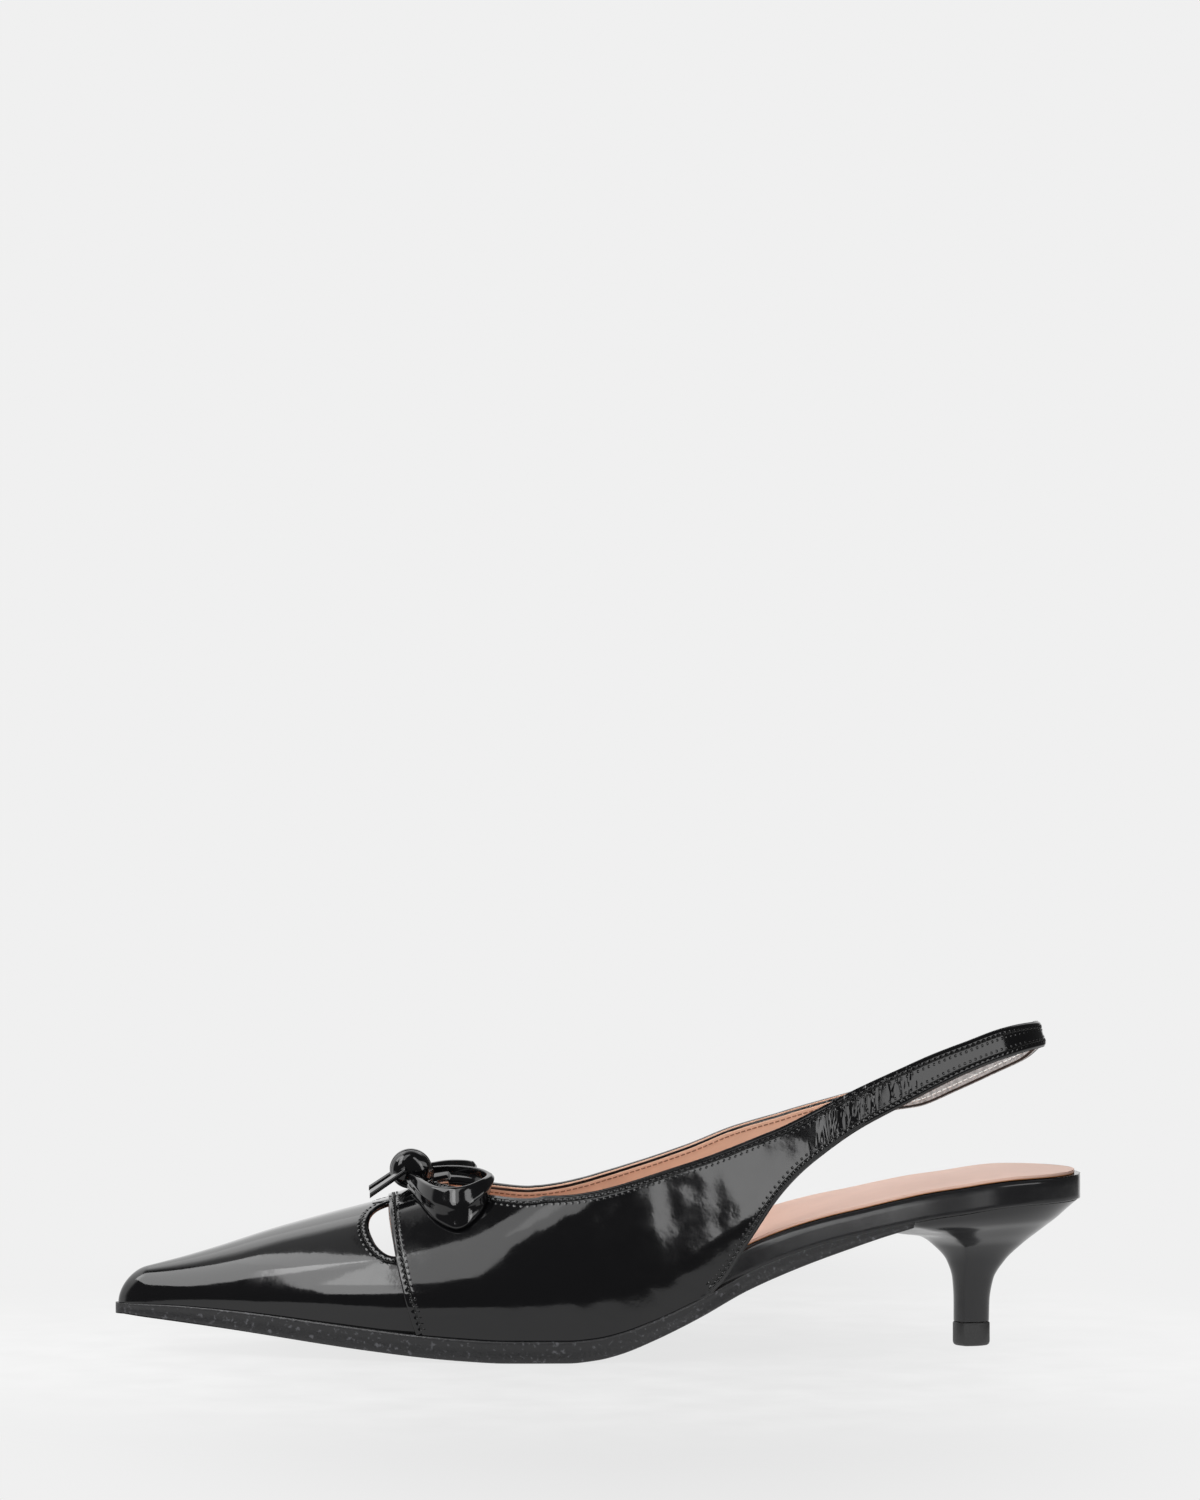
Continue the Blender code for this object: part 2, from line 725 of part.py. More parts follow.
def heel_outline(level, grow=0.0, count=7):
    """Plan of the heel at a level: crisp corners at the breast, a convex breast, a round back."""
    back = TIP_BACK + (LENGTH / 2 - HEEL_INSET - TIP_BACK) * HEEL("back", level) + grow
    breast = TIP_BACK - TIP_LENGTH
    breast += (HEEL_BREAST - breast) * HEEL("breast", level) - grow
    corner = TIP_BACK - TIP_CORNER
    corner += (HEEL_CORNER - corner) * HEEL("corner", level)
    seat = (bed_width(LATERAL, HEEL_CORNER) + bed_width(MEDIAL, HEEL_CORNER)) / 2 - HEEL_INSET
    width = TIP_WIDTH / 2 + (seat - TIP_WIDTH / 2) * HEEL("width", level) + grow
    shift = (bed_width(MEDIAL, HEEL_CORNER) - bed_width(LATERAL, HEEL_CORNER)) / 2 * HEEL("width", level)
    power = 2.3 + 0.3 * HEEL("width", level)
    points = []
    for turn in steps(-math.pi / 2, math.pi / 2, 2 * count):
        across = math.copysign(abs(math.sin(turn)) ** (2 / power), turn)
        deep = math.cos(turn) ** (2 / power)
        points.append((corner + (back - corner) * deep, shift + width * across))
    for share in steps(1, -1, 6)[1:-1]:
        half = width + math.copysign(shift, share)
        points.append((breast + (corner - breast) * share * share, half * share))
    return points


def heel_height(x, level):
    """A heel section hangs from the footbed's underside at the seat and levels out below it."""
    back = sole_top(LENGTH / 2)
    return back * level + (sole_top(x) - back) * level**4


def make_heel():
    lowest = (TIP_HEIGHT + GAP) / sole_top(LENGTH / 2)
    levels = (0.30, 0.42, 0.52, 0.60, 0.67, 0.73, 0.78, 0.805, 0.83, 0.86, 0.90, 0.95, 1.0)
    rings = [[(x, y, TIP_HEIGHT + GAP) for x, y in heel_outline(lowest)]]
    for level in levels:
        rings.append([(x, y, heel_height(x, level)) for x, y in heel_outline(level)])
    return add_object("heel", loft("heel", rings), (0.014, 0.014, 0.015), 0.2, 40)


def make_heel_tip():
    """Top piece under the heel, a touch larger than the heel's foot, with a small chamfer at the floor."""
    plan = heel_outline(0.0, TIP_MARGIN)
    rings = [[(x, y, 0.0) for x, y in heel_outline(0.0, TIP_MARGIN - TIP_CHAMFER)]]
    rings += [[(x, y, z) for x, y in plan] for z in (TIP_CHAMFER, TIP_HEIGHT)]
    return add_object("heel_tip", loft("heel_tip", rings), (0.02, 0.02, 0.02), 0.5, 40)


def knot_section(share):
    """Radius of the knot at a share of its half-width: a barrel with round ends."""
    return (1 - KNOT_TAPER * share * share) * rounded((1 - abs(share)) / KNOT_END)


def knot_point(share, turn):
    """A point of the knot's barrel, whose underside follows the bridge."""
    radius = knot_section(share)
    x = BOW_X + KNOT_LENGTH / 2 * radius * math.cos(turn)
    y = KNOT_WIDTH / 2 * share
    z = bridge_height() + KNOT_HEIGHT / 2 * (1 + radius * math.sin(turn))
    return (x, y, max(z, vamp_height(x, max(abs(y), NEAR_MIDDLE)) + 2 * GAP))


def make_knot():
    """Ribbon wound over the bridge: a barrel that lies across the shoe."""
    shares = [math.sin(turn) for turn in steps(-math.pi / 2, math.pi / 2, 10)]
    shares[0], shares[-1] = -0.995, 0.995
    rings = [[knot_point(share, turn) for turn in steps(0, 2 * math.pi, 18)[:-1]] for share in shares]
    return add_object("bow_knot", loft("bow_knot", rings), (0.008, 0.008, 0.009), 0.08, 50)


def loop_plan(side, way):
    """Place of the ribbon's foot in plan, with the shoe's middle as the second axis's zero. The medial loop
    sweeps back less."""
    sweep = LOOP_SWEEP * (1.0 if side == LATERAL else FAR_LOOP_SHARE)
    return Vector((BOW_X + LOOP("along", way) * sweep, LOOP("out", way) * LOOP_REACH))


def loop_point(side, way, share, across):
    """A point of a loop's ribbon: share goes from its foot to its rim, and across through its thickness."""
    step = 0.004
    here = loop_plan(side, way)
    ahead = (loop_plan(side, min(way + step, 1.0)) - loop_plan(side, max(way - step, 0.0))).normalized()
    outward = Vector((-ahead.y, ahead.x))
    rim = bridge_height() + LOOP("rim", way) * LOOP_HEIGHT
    foot = bridge_height() - LOOP("drop", way) * LOOP_DROP
    inner = here.y - RIBBON / 2
    if inner > throat_width(side, here.x) - 2 * RIBBON:
        foot = max(foot, vamp_height(here.x, side * inner) + 2 * GAP)
    fold = LOOP_CREASE * (1 - abs(share - 0.5) * 2)
    spot = here + outward * (across * RIBBON / 2 + fold)
    lean = LOOP("lean", way) * LOOP_HEIGHT * share
    return (spot.x, side * (spot.y + lean), foot + (rim - foot) * share)


def make_loop(side):
    """Standing loop of ribbon, creased along its middle, with its foot on the quarter."""
    rings = []
    for way in steps(0, 1, 30):
        ring = [loop_point(side, way, share, 1) for share in (0, 0.5, 1)]
        ring += [loop_point(side, way, share, -1) for share in (1, 0.5, 0)]
        rings.append(ring)
    name = "bow_loop_" + SIDE_NAMES[side]
    return add_object(name, loft(name, rings), (0.008, 0.008, 0.009), 0.08, 50)


def make_tail(side):
    """Short flat end of the ribbon, from beside the knot forward over the toe cap."""
    rings = []
    for share in steps(0, 1, 6):
        x = BOW_X - TAIL_SETBACK - TAIL_LENGTH * share
        z = bridge_height() + TAIL_RISE - TAIL_DROP * share
        inner = side * (KNOT_WIDTH / 2 + GAP + TAIL_SPLAY * share)
        outer = inner + side * TAIL_WIDTH * (TAIL_NECK + (1 - TAIL_NECK) * share)
        ring = [(x, inner, z - RIBBON / 2), (x, outer, z - RIBBON / 2 - TAIL_CURL)]
        ring += [(x, outer, z + RIBBON / 2 - TAIL_CURL), (x, inner, z + RIBBON / 2)]
        rings.append(ring)
    name = "bow_tail_" + SIDE_NAMES[side]
    return add_object(name, loft(name, rings), (0.008, 0.008, 0.009), 0.08, 50)


def main():
    for old in list(bpy.data.objects):
        bpy.data.objects.remove(old)
    collection = bpy.data.collections.new("kitten_heel_pump")
    bpy.context.scene.collection.children.link(collection)
    make_outsole()
    make_board()
    make_insole()
    make_upper()
    make_heel()
    make_heel_tip()
    make_knot()
    for side in (LATERAL, MEDIAL):
        make_loop(side)
        make_tail(side)


main()
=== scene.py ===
import math

import bpy
import numpy as np
from bpy.props import FloatProperty, FloatVectorProperty, PointerProperty
from mathutils import Matrix, Vector


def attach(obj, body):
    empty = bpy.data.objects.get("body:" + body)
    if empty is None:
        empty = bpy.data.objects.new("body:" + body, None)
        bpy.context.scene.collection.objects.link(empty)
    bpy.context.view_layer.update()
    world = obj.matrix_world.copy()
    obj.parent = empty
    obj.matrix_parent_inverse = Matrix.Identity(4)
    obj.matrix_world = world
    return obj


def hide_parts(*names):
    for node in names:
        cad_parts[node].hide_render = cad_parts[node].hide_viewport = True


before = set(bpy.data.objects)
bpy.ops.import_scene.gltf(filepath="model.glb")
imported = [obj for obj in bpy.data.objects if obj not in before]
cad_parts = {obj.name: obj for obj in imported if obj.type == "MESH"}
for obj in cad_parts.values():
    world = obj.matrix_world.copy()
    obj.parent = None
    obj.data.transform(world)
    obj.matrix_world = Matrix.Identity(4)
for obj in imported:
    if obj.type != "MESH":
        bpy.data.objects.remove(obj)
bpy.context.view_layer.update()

bl_info = {
    "name": "Kitten heel slingback pump",
    "version": (1, 0, 0),
    "blender": (4, 5, 0),
    "location": "View3D > Sidebar > Pump",
    "description": "Dresses the packed pump in patent leather, lining, thread and a studio",
    "category": "Add Mesh",
}

# The toe points to -X, the lateral side to -Y, and the floor is z = 0. Lengths are metres. The named sizes
# and the tables below are the ones that the solids are built from.
LENGTH = 0.263
LAST_WIDTH = 0.0732
SEAT_RISE = 0.0403
TOE_SPRING = 0.0102
INSTEP_HEIGHT = 0.0367
ARCH_LIFT = 0.0014
ARCH_WIDTH = 0.0244
TOE_NOSE = 0.0065
SEAT_RADIUS = 0.026

# Walls and layers
SOLE_THICKNESS = 0.0053
SOLE_MARGIN = 0.0004
SOLE_EDGE_ROUND = 0.0011
SOLE_BEAD = 0.0003
BOARD_THICKNESS = 0.002
BOARD_INSET = 0.0006
RAND_THICKNESS = 0.0068
RAND_ROUND = 0.0012
RAND_FOOT_ROUND = 0.0003
SOCK_THICKNESS = 0.0008
SOCK_INSET = 0.0016
SOCK_ROUND = 0.0005
SOCK_FOOT_ROUND = 0.0001
CAP_WALL = 0.0016
QUARTER_WALL = 0.0023
SLING_WALL = 0.002
GAP = 0.0003
SEAM_GAP = 0.0006
BLEND_RUN = 0.016

# Opening, cut-outs and sling
SLING_RISE = 0.0485
SLING_BACK = 0.1184
SLING_TURN = 0.060
SLING_SPAN = 0.0278
SLING_LEAN = 0.29
SEAM_X = -0.0571
SEAM_SWEEP = 0.0067
SEAM_POWER = 1.8
THROAT_X = -0.0445
THROAT_END = -0.016
THROAT_POWER = 1.7
CUT_DEPTH = 0.006
CUT_LOW = 0.387
MEDIAL_CUT_LOW = 0.2
CUT_HIGH = 0.883
QUARTER_END = 0.028

# Heel
HEEL_BREAST = 0.0755
HEEL_CORNER = 0.0837
HEEL_INSET = 0.0012
HEEL_LIP_RUN = 0.024
TIP_BACK = 0.1066
TIP_LENGTH = 0.0097
TIP_CORNER = 0.0074
TIP_WIDTH = 0.0094
TIP_HEIGHT = 0.0064
TIP_MARGIN = 0.0002

# Bow
BOW_X = -0.0515
KNOT_LENGTH = 0.011
KNOT_WIDTH = 0.0114
KNOT_HEIGHT = 0.0104
KNOT_TAPER = 0.12
KNOT_END = 0.3
RIBBON = 0.0014
LOOP_RIBBON = 0.011
LOOP_REACH = 0.0305
LOOP_SWEEP = 0.0206
LOOP_HEIGHT = 0.0113
FAR_LOOP_SHARE = 0.84
LOOP_DROP = 0.0095
LOOP_CREASE = 0.001
TAIL_SETBACK = 0.0018
TAIL_LENGTH = 0.0095
TAIL_WIDTH = 0.0055
TAIL_NECK = 0.8
TAIL_SPLAY = 0.0012
TAIL_RISE = 0.0057
TAIL_DROP = 0.0063
TAIL_CURL = 0.0006

SECTION_POWER = 2.2
BULGE_HEIGHT = 0.35
TOE_ALLOWANCE = CAP_WALL + GAP + SOLE_MARGIN
TOE_X = -LENGTH / 2 + TOE_ALLOWANCE
BED_LENGTH = LENGTH - TOE_ALLOWANCE
NEAR_MIDDLE = 1e-4
ON_MIDDLE = 1e-6
WELD = 1e-6
SHARP = math.radians(50)
BATCH = 4000

LATERAL, MEDIAL = -1, 1
SIDE_NAMES = {LATERAL: "lateral", MEDIAL: "medial"}


class Table:
    """A short table whose first column is the station. The others are read between rows by a monotone cubic
    that is eased over a short window, so that the surface has no creases at the rows."""

    SAMPLES = 1201

    def __init__(self, columns, rows, window=0.0):
        self.grid = np.linspace(rows[0][0], rows[-1][0], self.SAMPLES)
        stations = np.array([row[0] for row in rows])
        self.columns = {}
        for index, name in enumerate(columns[1:], 1):
            values = np.array([row[index] for row in rows], float)
            self.columns[name] = self.ease(self.cubic(stations, values), window)

    def cubic(self, stations, values):
        steps = np.diff(stations)
        rates = np.diff(values) / steps
        product = rates[:-1] * rates[1:]
        total = np.where(product > 0, rates[:-1] + rates[1:], 1.0)
        slopes = np.concatenate([rates[:1], np.where(product > 0, 2 * product / total, 0.0), rates[-1:]])
        cell = np.clip(np.searchsorted(stations, self.grid, side="right") - 1, 0, len(steps) - 1)
        part = (self.grid - stations[cell]) / steps[cell]
        rise = part * part * (3 - 2 * part)
        lead = part * (1 - part) ** 2 * steps[cell]
        tail = part * part * (part - 1) * steps[cell]
        blend = values[cell] + (values[cell + 1] - values[cell]) * rise
        return blend + slopes[cell] * lead + slopes[cell + 1] * tail

    def ease(self, samples, window):
        reach = int(round(window / (self.grid[1] - self.grid[0])))
        if reach < 1:
            return samples
        before = 2 * samples[0] - samples[reach:0:-1]
        after = 2 * samples[-1] - samples[-2 : -reach - 2 : -1]
        weights = np.hanning(2 * reach + 3)[1:-1]
        return np.convolve(np.concatenate([before, samples, after]), weights / weights.sum(), "valid")

    def __call__(self, column, station):
        return np.interp(station, self.grid, self.columns[column])


# Half-widths as shares of LAST_WIDTH, crest as a share of INSTEP_HEIGHT. The bed is the last's bottom
# outline and the wall the widest the last gets above it. Behind the throat the crest is the instep that the
# walls lean to.
LAST = Table(
    ("station", "lateral_bed", "medial_bed", "lateral_wall", "medial_wall", "crest"),
    (
        (0.00, 0.035, 0.035, 0.037, 0.037, 0.190),
        (0.05, 0.124, 0.126, 0.130, 0.131, 0.271),
        (0.10, 0.206, 0.213, 0.216, 0.223, 0.387),
        (0.16, 0.290, 0.313, 0.303, 0.327, 0.558),
        (0.22, 0.365, 0.400, 0.383, 0.418, 0.719),
        (0.28, 0.425, 0.469, 0.445, 0.489, 0.875),
        (0.34, 0.467, 0.504, 0.490, 0.527, 1.055),
        (0.40, 0.496, 0.505, 0.519, 0.531, 1.253),
        (0.46, 0.503, 0.473, 0.523, 0.510, 1.452),
        (0.52, 0.488, 0.418, 0.505, 0.475, 1.630),
        (0.58, 0.454, 0.363, 0.475, 0.445, 1.740),
        (0.64, 0.419, 0.331, 0.448, 0.426, 1.790),
        (0.70, 0.398, 0.316, 0.423, 0.413, 1.847),
        (0.76, 0.381, 0.321, 0.407, 0.403, 1.935),
        (0.82, 0.372, 0.340, 0.402, 0.400, 2.050),
        (0.88, 0.361, 0.351, 0.402, 0.400, 2.166),
        (1.00, 0.357, 0.355, 0.402, 0.400, 2.370),
    ),
    window=0.03,
)

# Underside of the sole: spring is a share of TOE_SPRING, climb of SEAT_RISE. Flat between its two zero rows.
PROFILE = Table(
    ("station", "spring", "climb"),
    (
        (0.000, 1.000, 0.000),
        (0.054, 0.875, 0.000),
        (0.104, 0.745, 0.000),
        (0.154, 0.590, 0.000),
        (0.202, 0.430, 0.000),
        (0.250, 0.280, 0.000),
        (0.300, 0.145, 0.000),
        (0.350, 0.045, 0.000),
        (0.392, 0.000, 0.000),
        (0.455, 0.000, 0.000),
        (0.484, 0.000, 0.018),
        (0.507, 0.000, 0.052),
        (0.545, 0.000, 0.146),
        (0.595, 0.000, 0.298),
        (0.645, 0.000, 0.462),
        (0.695, 0.000, 0.597),
        (0.745, 0.000, 0.712),
        (0.796, 0.000, 0.819),
        (0.862, 0.000, 0.930),
        (0.929, 0.000, 0.988),
        (1.000, 0.000, 1.000),
    ),
)

# Sole as a share of SOLE_THICKNESS, rand as the share of the way from BOARD_THICKNESS to RAND_THICKNESS,
# arch as a share of ARCH_LIFT.
LAYERS = Table(
    ("station", "sole", "rand", "arch"),
    (
        (0.00, 0.42, 0.00, 0.00),
        (0.05, 0.68, 0.00, 0.00),
        (0.10, 0.82, 0.00, 0.00),
        (0.16, 0.93, 0.00, 0.00),
        (0.25, 1.00, 0.00, 0.00),
        (0.44, 1.00, 0.00, 0.00),
        (0.50, 0.98, 0.00, 0.20),
        (0.57, 0.87, 0.50, 0.70),
        (0.63, 0.84, 1.10, 1.00),
        (0.67, 0.80, 1.08, 1.00),
        (0.72, 0.68, 1.00, 0.80),
        (0.77, 0.42, 0.97, 0.45),
        (0.82, 0.20, 1.00, 0.15),
        (0.87, 0.00, 1.00, 0.00),
        (1.00, 0.00, 0.96, 0.00),
    ),
    window=0.02,
)

# Edges of the quarters and the sling: heights above the sole's top, as shares of SLING_RISE.
EDGES = Table(
    ("station", "lateral_top", "medial_top", "lateral_foot", "medial_foot"),
    (
        (0.383, 0.781, 0.735, 0.000, 0.000),
        (0.434, 0.763, 0.722, 0.000, 0.000),
        (0.461, 0.773, 0.742, 0.000, 0.000),
        (0.513, 0.788, 0.770, 0.000, 0.000),
        (0.552, 0.780, 0.760, 0.000, 0.000),
        (0.603, 0.745, 0.730, 0.012, 0.012),
        (0.641, 0.722, 0.712, 0.184, 0.184),
        (0.670, 0.718, 0.695, 0.345, 0.340),
        (0.695, 0.732, 0.685, 0.437, 0.425),
        (0.722, 0.760, 0.685, 0.505, 0.480),
        (0.756, 0.808, 0.695, 0.585, 0.528),
        (0.795, 0.856, 0.712, 0.650, 0.551),
        (0.832, 0.903, 0.733, 0.715, 0.546),
        (0.870, 0.946, 0.778, 0.778, 0.610),
        (0.910, 0.981, 0.848, 0.819, 0.695),
        (0.938, 0.991, 0.925, 0.843, 0.775),
        (0.9495, 0.988, 0.988, 0.848, 0.848),
    ),
    window=0.012,
)

# Heel sections from the top piece up to the seat: level is the share of SEAT_RISE, the others are the share
# of the way from the top piece's size to the seat's.
HEEL = Table(
    ("level", "back", "breast", "corner", "width"),
    (
        (0.16, 0.000, 0.000, 0.000, 0.000),
        (0.30, 0.006, 0.000, 0.000, 0.010),
        (0.45, 0.050, 0.016, 0.000, 0.035),
        (0.58, 0.185, 0.088, -0.015, 0.115),
        (0.70, 0.395, 0.265, 0.040, 0.280),
        (0.78, 0.560, 0.450, 0.220, 0.500),
        (0.83, 0.665, 0.780, 0.420, 0.650),
        (0.88, 0.770, 0.880, 0.680, 0.820),
        (0.94, 0.880, 0.950, 0.930, 0.940),
        (1.00, 1.000, 1.000, 1.000, 1.000),
    ),
)

# Ribbon of a bow loop, from the knot out along the front and back along the rear: along is a share of
# LOOP_SWEEP behind the knot's centre, out of LOOP_REACH. The ribbon's foot lies a share of LOOP_DROP below
# the bridge, its rim a share of LOOP_HEIGHT above the bridge, and the rim leans out by a share of it.
LOOP = Table(
    ("way", "along", "out", "drop", "rim", "lean"),
    (
        (0.00, -0.02, 0.200, -0.05, 0.420, 0.00),
        (0.11, 0.07, 0.440, 0.15, 0.390, 0.00),
        (0.22, 0.17, 0.690, 0.40, 0.295, -0.03),
        (0.34, 0.36, 0.900, 0.76, 0.207, -0.12),
        (0.46, 0.62, 1.000, 0.94, 0.230, -0.20),
        (0.58, 0.88, 0.920, 0.62, 0.385, -0.11),
        (0.69, 1.00, 0.690, 0.00, 0.480, 0.00),
        (0.80, 0.88, 0.460, -0.05, 0.570, 0.05),
        (0.90, 0.60, 0.310, -0.15, 0.605, 0.04),
        (1.00, 0.29, 0.200, -0.13, 0.560, 0.00),
    ),
    window=0.05,
)


def station(x):
    """Share of the last's length at which a section stands."""
    return (x - TOE_X) / BED_LENGTH


def pick(table, side, column, x):
    """A table's value for the side that each section is on."""
    at = station(x)
    return np.where(side < 0, table("lateral_" + column, at), table("medial_" + column, at))


def rounded(share):
    """Quarter circle that closes an outline at its end."""
    return np.sqrt(np.maximum(0.0, 1 - (1 - np.clip(share, 0, 1)) ** 2))


def smooth(share):
    share = np.clip(share, 0, 1)
    return share * share * (3 - 2 * share)


def bed_width(side, x, grow=0.0):
    """Half-width of the last's bottom at a section, or of an outline that stands out from it by grow."""
    width = pick(LAST, side, "bed", x) * LAST_WIDTH
    toe = rounded((x - TOE_X + grow) / (TOE_NOSE + grow))
    seat = rounded((LENGTH / 2 - x + grow) / (SEAT_RADIUS + grow))
    return (width + grow) * toe * seat


def sole_bottom(x, y=0.0):
    at = station(x)
    low = PROFILE("spring", at) * TOE_SPRING + PROFILE("climb", at) * SEAT_RISE
    return low + LAYERS("arch", at) * ARCH_LIFT * np.clip(np.maximum(y, 0) / ARCH_WIDTH, 0, 1) ** 2


def sole_top(x, y=0.0):
    return sole_bottom(x, y) + LAYERS("sole", station(x)) * SOLE_THICKNESS


def board_low(x, y=0.0):
    return sole_top(x, y) + GAP


def board_top(x, y=0.0):
    thicker = LAYERS("rand", station(x)) * (RAND_THICKNESS - BOARD_THICKNESS)
    return board_low(x, y) + BOARD_THICKNESS + thicker


def board_grow(x):
    """The board stands a little clear of the upper's wall in front and has its full outline behind it."""
    return -BOARD_INSET * (1 - smooth((x - QUARTER_END) / BLEND_RUN))


def sock_low(x, y=0.0):
    return board_top(x, y) + GAP / 2


def sock_high(x, y=0.0):
    return board_top(x, y) + GAP + SOCK_THICKNESS


TURNS = np.linspace(0, math.pi / 2, 60)
SLING_RUN = float(
    np.hypot(np.diff((SLING_BACK - SLING_TURN) * np.sin(TURNS)), np.diff(SLING_SPAN * np.cos(TURNS))).sum()
)
BACK_RUN = SLING_TURN + SLING_RUN


def sling_angle(run):
    """How far round the quarter ellipse a run along the quarter has come, as an angle."""
    return np.clip((run - SLING_TURN) / SLING_RUN, 0, 1) * math.pi / 2


def run_x(run):
    return np.minimum(run, SLING_TURN) + (SLING_BACK - SLING_TURN) * np.sin(sling_angle(run))


def share_of_height(girth):
    """Height of a point of the section as a share of the crest, from its place along the girth."""
    return np.sin(girth * math.pi / 2) ** (2 / SECTION_POWER)


def girth_at_height(share):
    return np.arcsin(np.clip(share, 0, 1) ** (SECTION_POWER / 2)) * 2 / math.pi


def section_base(side, x):
    return sole_top(x, side * bed_width(side, x)) + SEAM_GAP


def section_crest(x):
    crest = LAST("crest", station(x)) * INSTEP_HEIGHT
    return sole_top(x) + GAP + crest * rounded((x - TOE_X) / TOE_NOSE)


def last_point(run, turn):
    """Points of the last's surface, the upper's inner face: turn goes from -1 at the lateral edge of the
    sole over 0 at the crest to 1 at the medial edge."""
    side = np.where(turn < 0, -1.0, 1.0)
    girth = np.clip(1 - np.abs(turn), 0, 1)
    x = run_x(run)
    share = share_of_height(girth)
    base = section_base(side, x)
    height = base + (section_crest(x) - base) * share
    nose = rounded((x - TOE_X) / TOE_NOSE)
    straight = pick(LAST, side, "bed", x) * LAST_WIDTH
    bed = np.where(x > SLING_TURN, straight, bed_width(side, x) + GAP * nose)
    wall = pick(LAST, side, "wall", x) * LAST_WIDTH * nose
    width = bed + (wall - bed) * smooth(share / BULGE_HEIGHT)
    width = width * np.cos(girth * math.pi / 2) ** (2 / SECTION_POWER)
    angle = sling_angle(run)
    lean = SLING_LEAN * (height - sole_top(x) - SLING_RISE)
    return np.stack([x - lean * np.sin(angle) ** 2, side * width * np.cos(angle), height + 0 * width], -1)


def unit(vectors):
    return vectors / np.maximum(np.linalg.norm(vectors, axis=-1, keepdims=True), 1e-12)


RUN_STEP = 0.0004
TURN_STEP = 0.01


def slopes(run, turn):
    """How the last's surface moves per unit of run and of turn."""
    behind, ahead = np.minimum(run, BACK_RUN) - RUN_STEP, np.minimum(run + RUN_STEP, BACK_RUN)
    along = (last_point(ahead, turn) - last_point(behind, turn)) / (ahead - behind)[..., None]
    low, high = np.maximum(turn - TURN_STEP, -1), np.minimum(turn + TURN_STEP, 1)
    across = (last_point(run, high) - last_point(run, low)) / (high - low)[..., None]
    return along, across


def skin_normal(run, turn):
    along, across = slopes(run, turn)
    normal = unit(np.cross(along, across))
    middle = (np.abs(turn) < ON_MIDDLE) | (run > BACK_RUN - ON_MIDDLE)
    normal[..., 1] = np.where(middle, 0, normal[..., 1])
    return unit(normal)


def skin_point(run, turn, offset):
    """Points that stand out from the last by offset."""
    return last_point(run, turn) + skin_normal(run, turn) * np.asarray(offset)[..., None]


def settle(run, turn, target):
    """The places on the last right below points that float near it, from places nearby."""
    for _ in range(4):
        along, across = slopes(run, turn)
        short = target - last_point(run, turn)
        one, both, two = (along * along).sum(-1), (along * across).sum(-1), (across * across).sum(-1)
        ahead, aside = (short * along).sum(-1), (short * across).sum(-1)
        size = np.maximum(one * two - both * both, 1e-12)
        run = np.minimum(run + (two * ahead - both * aside) / size, BACK_RUN)
        turn = turn + (one * aside - both * ahead) / size
    return run, turn


def edge_girth(side, run, column):
    """Place along the girth of the quarter's upper or lower edge."""
    x = run_x(run)
    height = sole_top(x) + GAP + pick(EDGES, side, column, x) * SLING_RISE
    base = section_base(side, x)
    return girth_at_height((height - base) / (section_crest(x) - base))


def throat_width(side, run):
    """Half-width of the throat: in plan it is a rounded V from the middle back to THROAT_END."""
    end = np.full(np.shape(run), THROAT_END)
    widest = np.abs(last_point(end, side * (1 - edge_girth(side, end, "top")))[..., 1])
    share = np.clip((THROAT_END - run) / (THROAT_END - THROAT_X), 0, 1)
    return widest * (1 - share**THROAT_POWER) ** (1 / THROAT_POWER)


def girth_inside(outside, like):
    """Places along the girth, bisected between the sole and the crest, above which outside() ends."""
    low, high = 0 * like, 0 * like + 1
    for _ in range(40):
        middle = (low + high) / 2
        far = outside(middle)
        low, high = np.where(far, middle, low), np.where(far, high, middle)
    return high


def throat_girth(side, run):
    width = throat_width(side, run)
    return girth_inside(lambda girth: np.abs(last_point(run, side * (1 - girth))[..., 1]) > width, run)


def top_girth(side, run):
    edge = np.where(run < THROAT_END, throat_girth(side, run), edge_girth(side, run, "top"))
    return np.where(run <= THROAT_X, 1.0, edge)


def foot_girth(side, run):
    return np.where(run <= QUARTER_END, 0.0, edge_girth(side, run, "foot"))


def seam_x(girth):
    """The quarter's front edge, which sweeps back towards the sole."""
    return SEAM_X + SEAM_SWEEP * (1 - share_of_height(girth)) ** SEAM_POWER


def cut_low(turn):
    """Lower end of a side's cut-out along the girth."""
    return np.where(np.asarray(turn) < 0, CUT_LOW, MEDIAL_CUT_LOW)


def cut_edge(turn):
    """Rear edge of the toe cap: on the seam, or in front of it at the cut-outs."""
    girth, low = 1 - np.abs(turn), cut_low(turn)
    share = np.clip((girth - low) / (CUT_HIGH - low), 0, 1)
    return seam_x(girth) - CUT_DEPTH * np.sqrt(4 * share * (1 - share))


def vamp_height(x, y):
    """Height of the quarters' outer face over points of the plan."""
    side, run = np.where(y < 0, -1.0, 1.0), x + 0.0 * y
    skin = lambda girth: skin_point(run, side * (1 - girth), QUARTER_WALL + 0 * run)
    return skin(girth_inside(lambda girth: np.abs(skin(girth)[..., 1]) > np.abs(y), run))[..., 2]


BRIDGE = float(vamp_height(BOW_X, NEAR_MIDDLE)) + GAP


def start_clear():
    bpy.ops.object.select_all(action="DESELECT")


def lay_grid(name, points):
    """A grid primitive whose vertices are moved onto rows of points."""
    rows, columns = points.shape[:2]
    start_clear()
    bpy.ops.mesh.primitive_grid_add(x_subdivisions=columns - 1, y_subdivisions=rows - 1)
    piece = bpy.context.object
    piece.name = piece.data.name = name
    piece.data.vertices.foreach_set("co", points.astype(np.float32).reshape(-1))
    piece.data.update()
    return piece


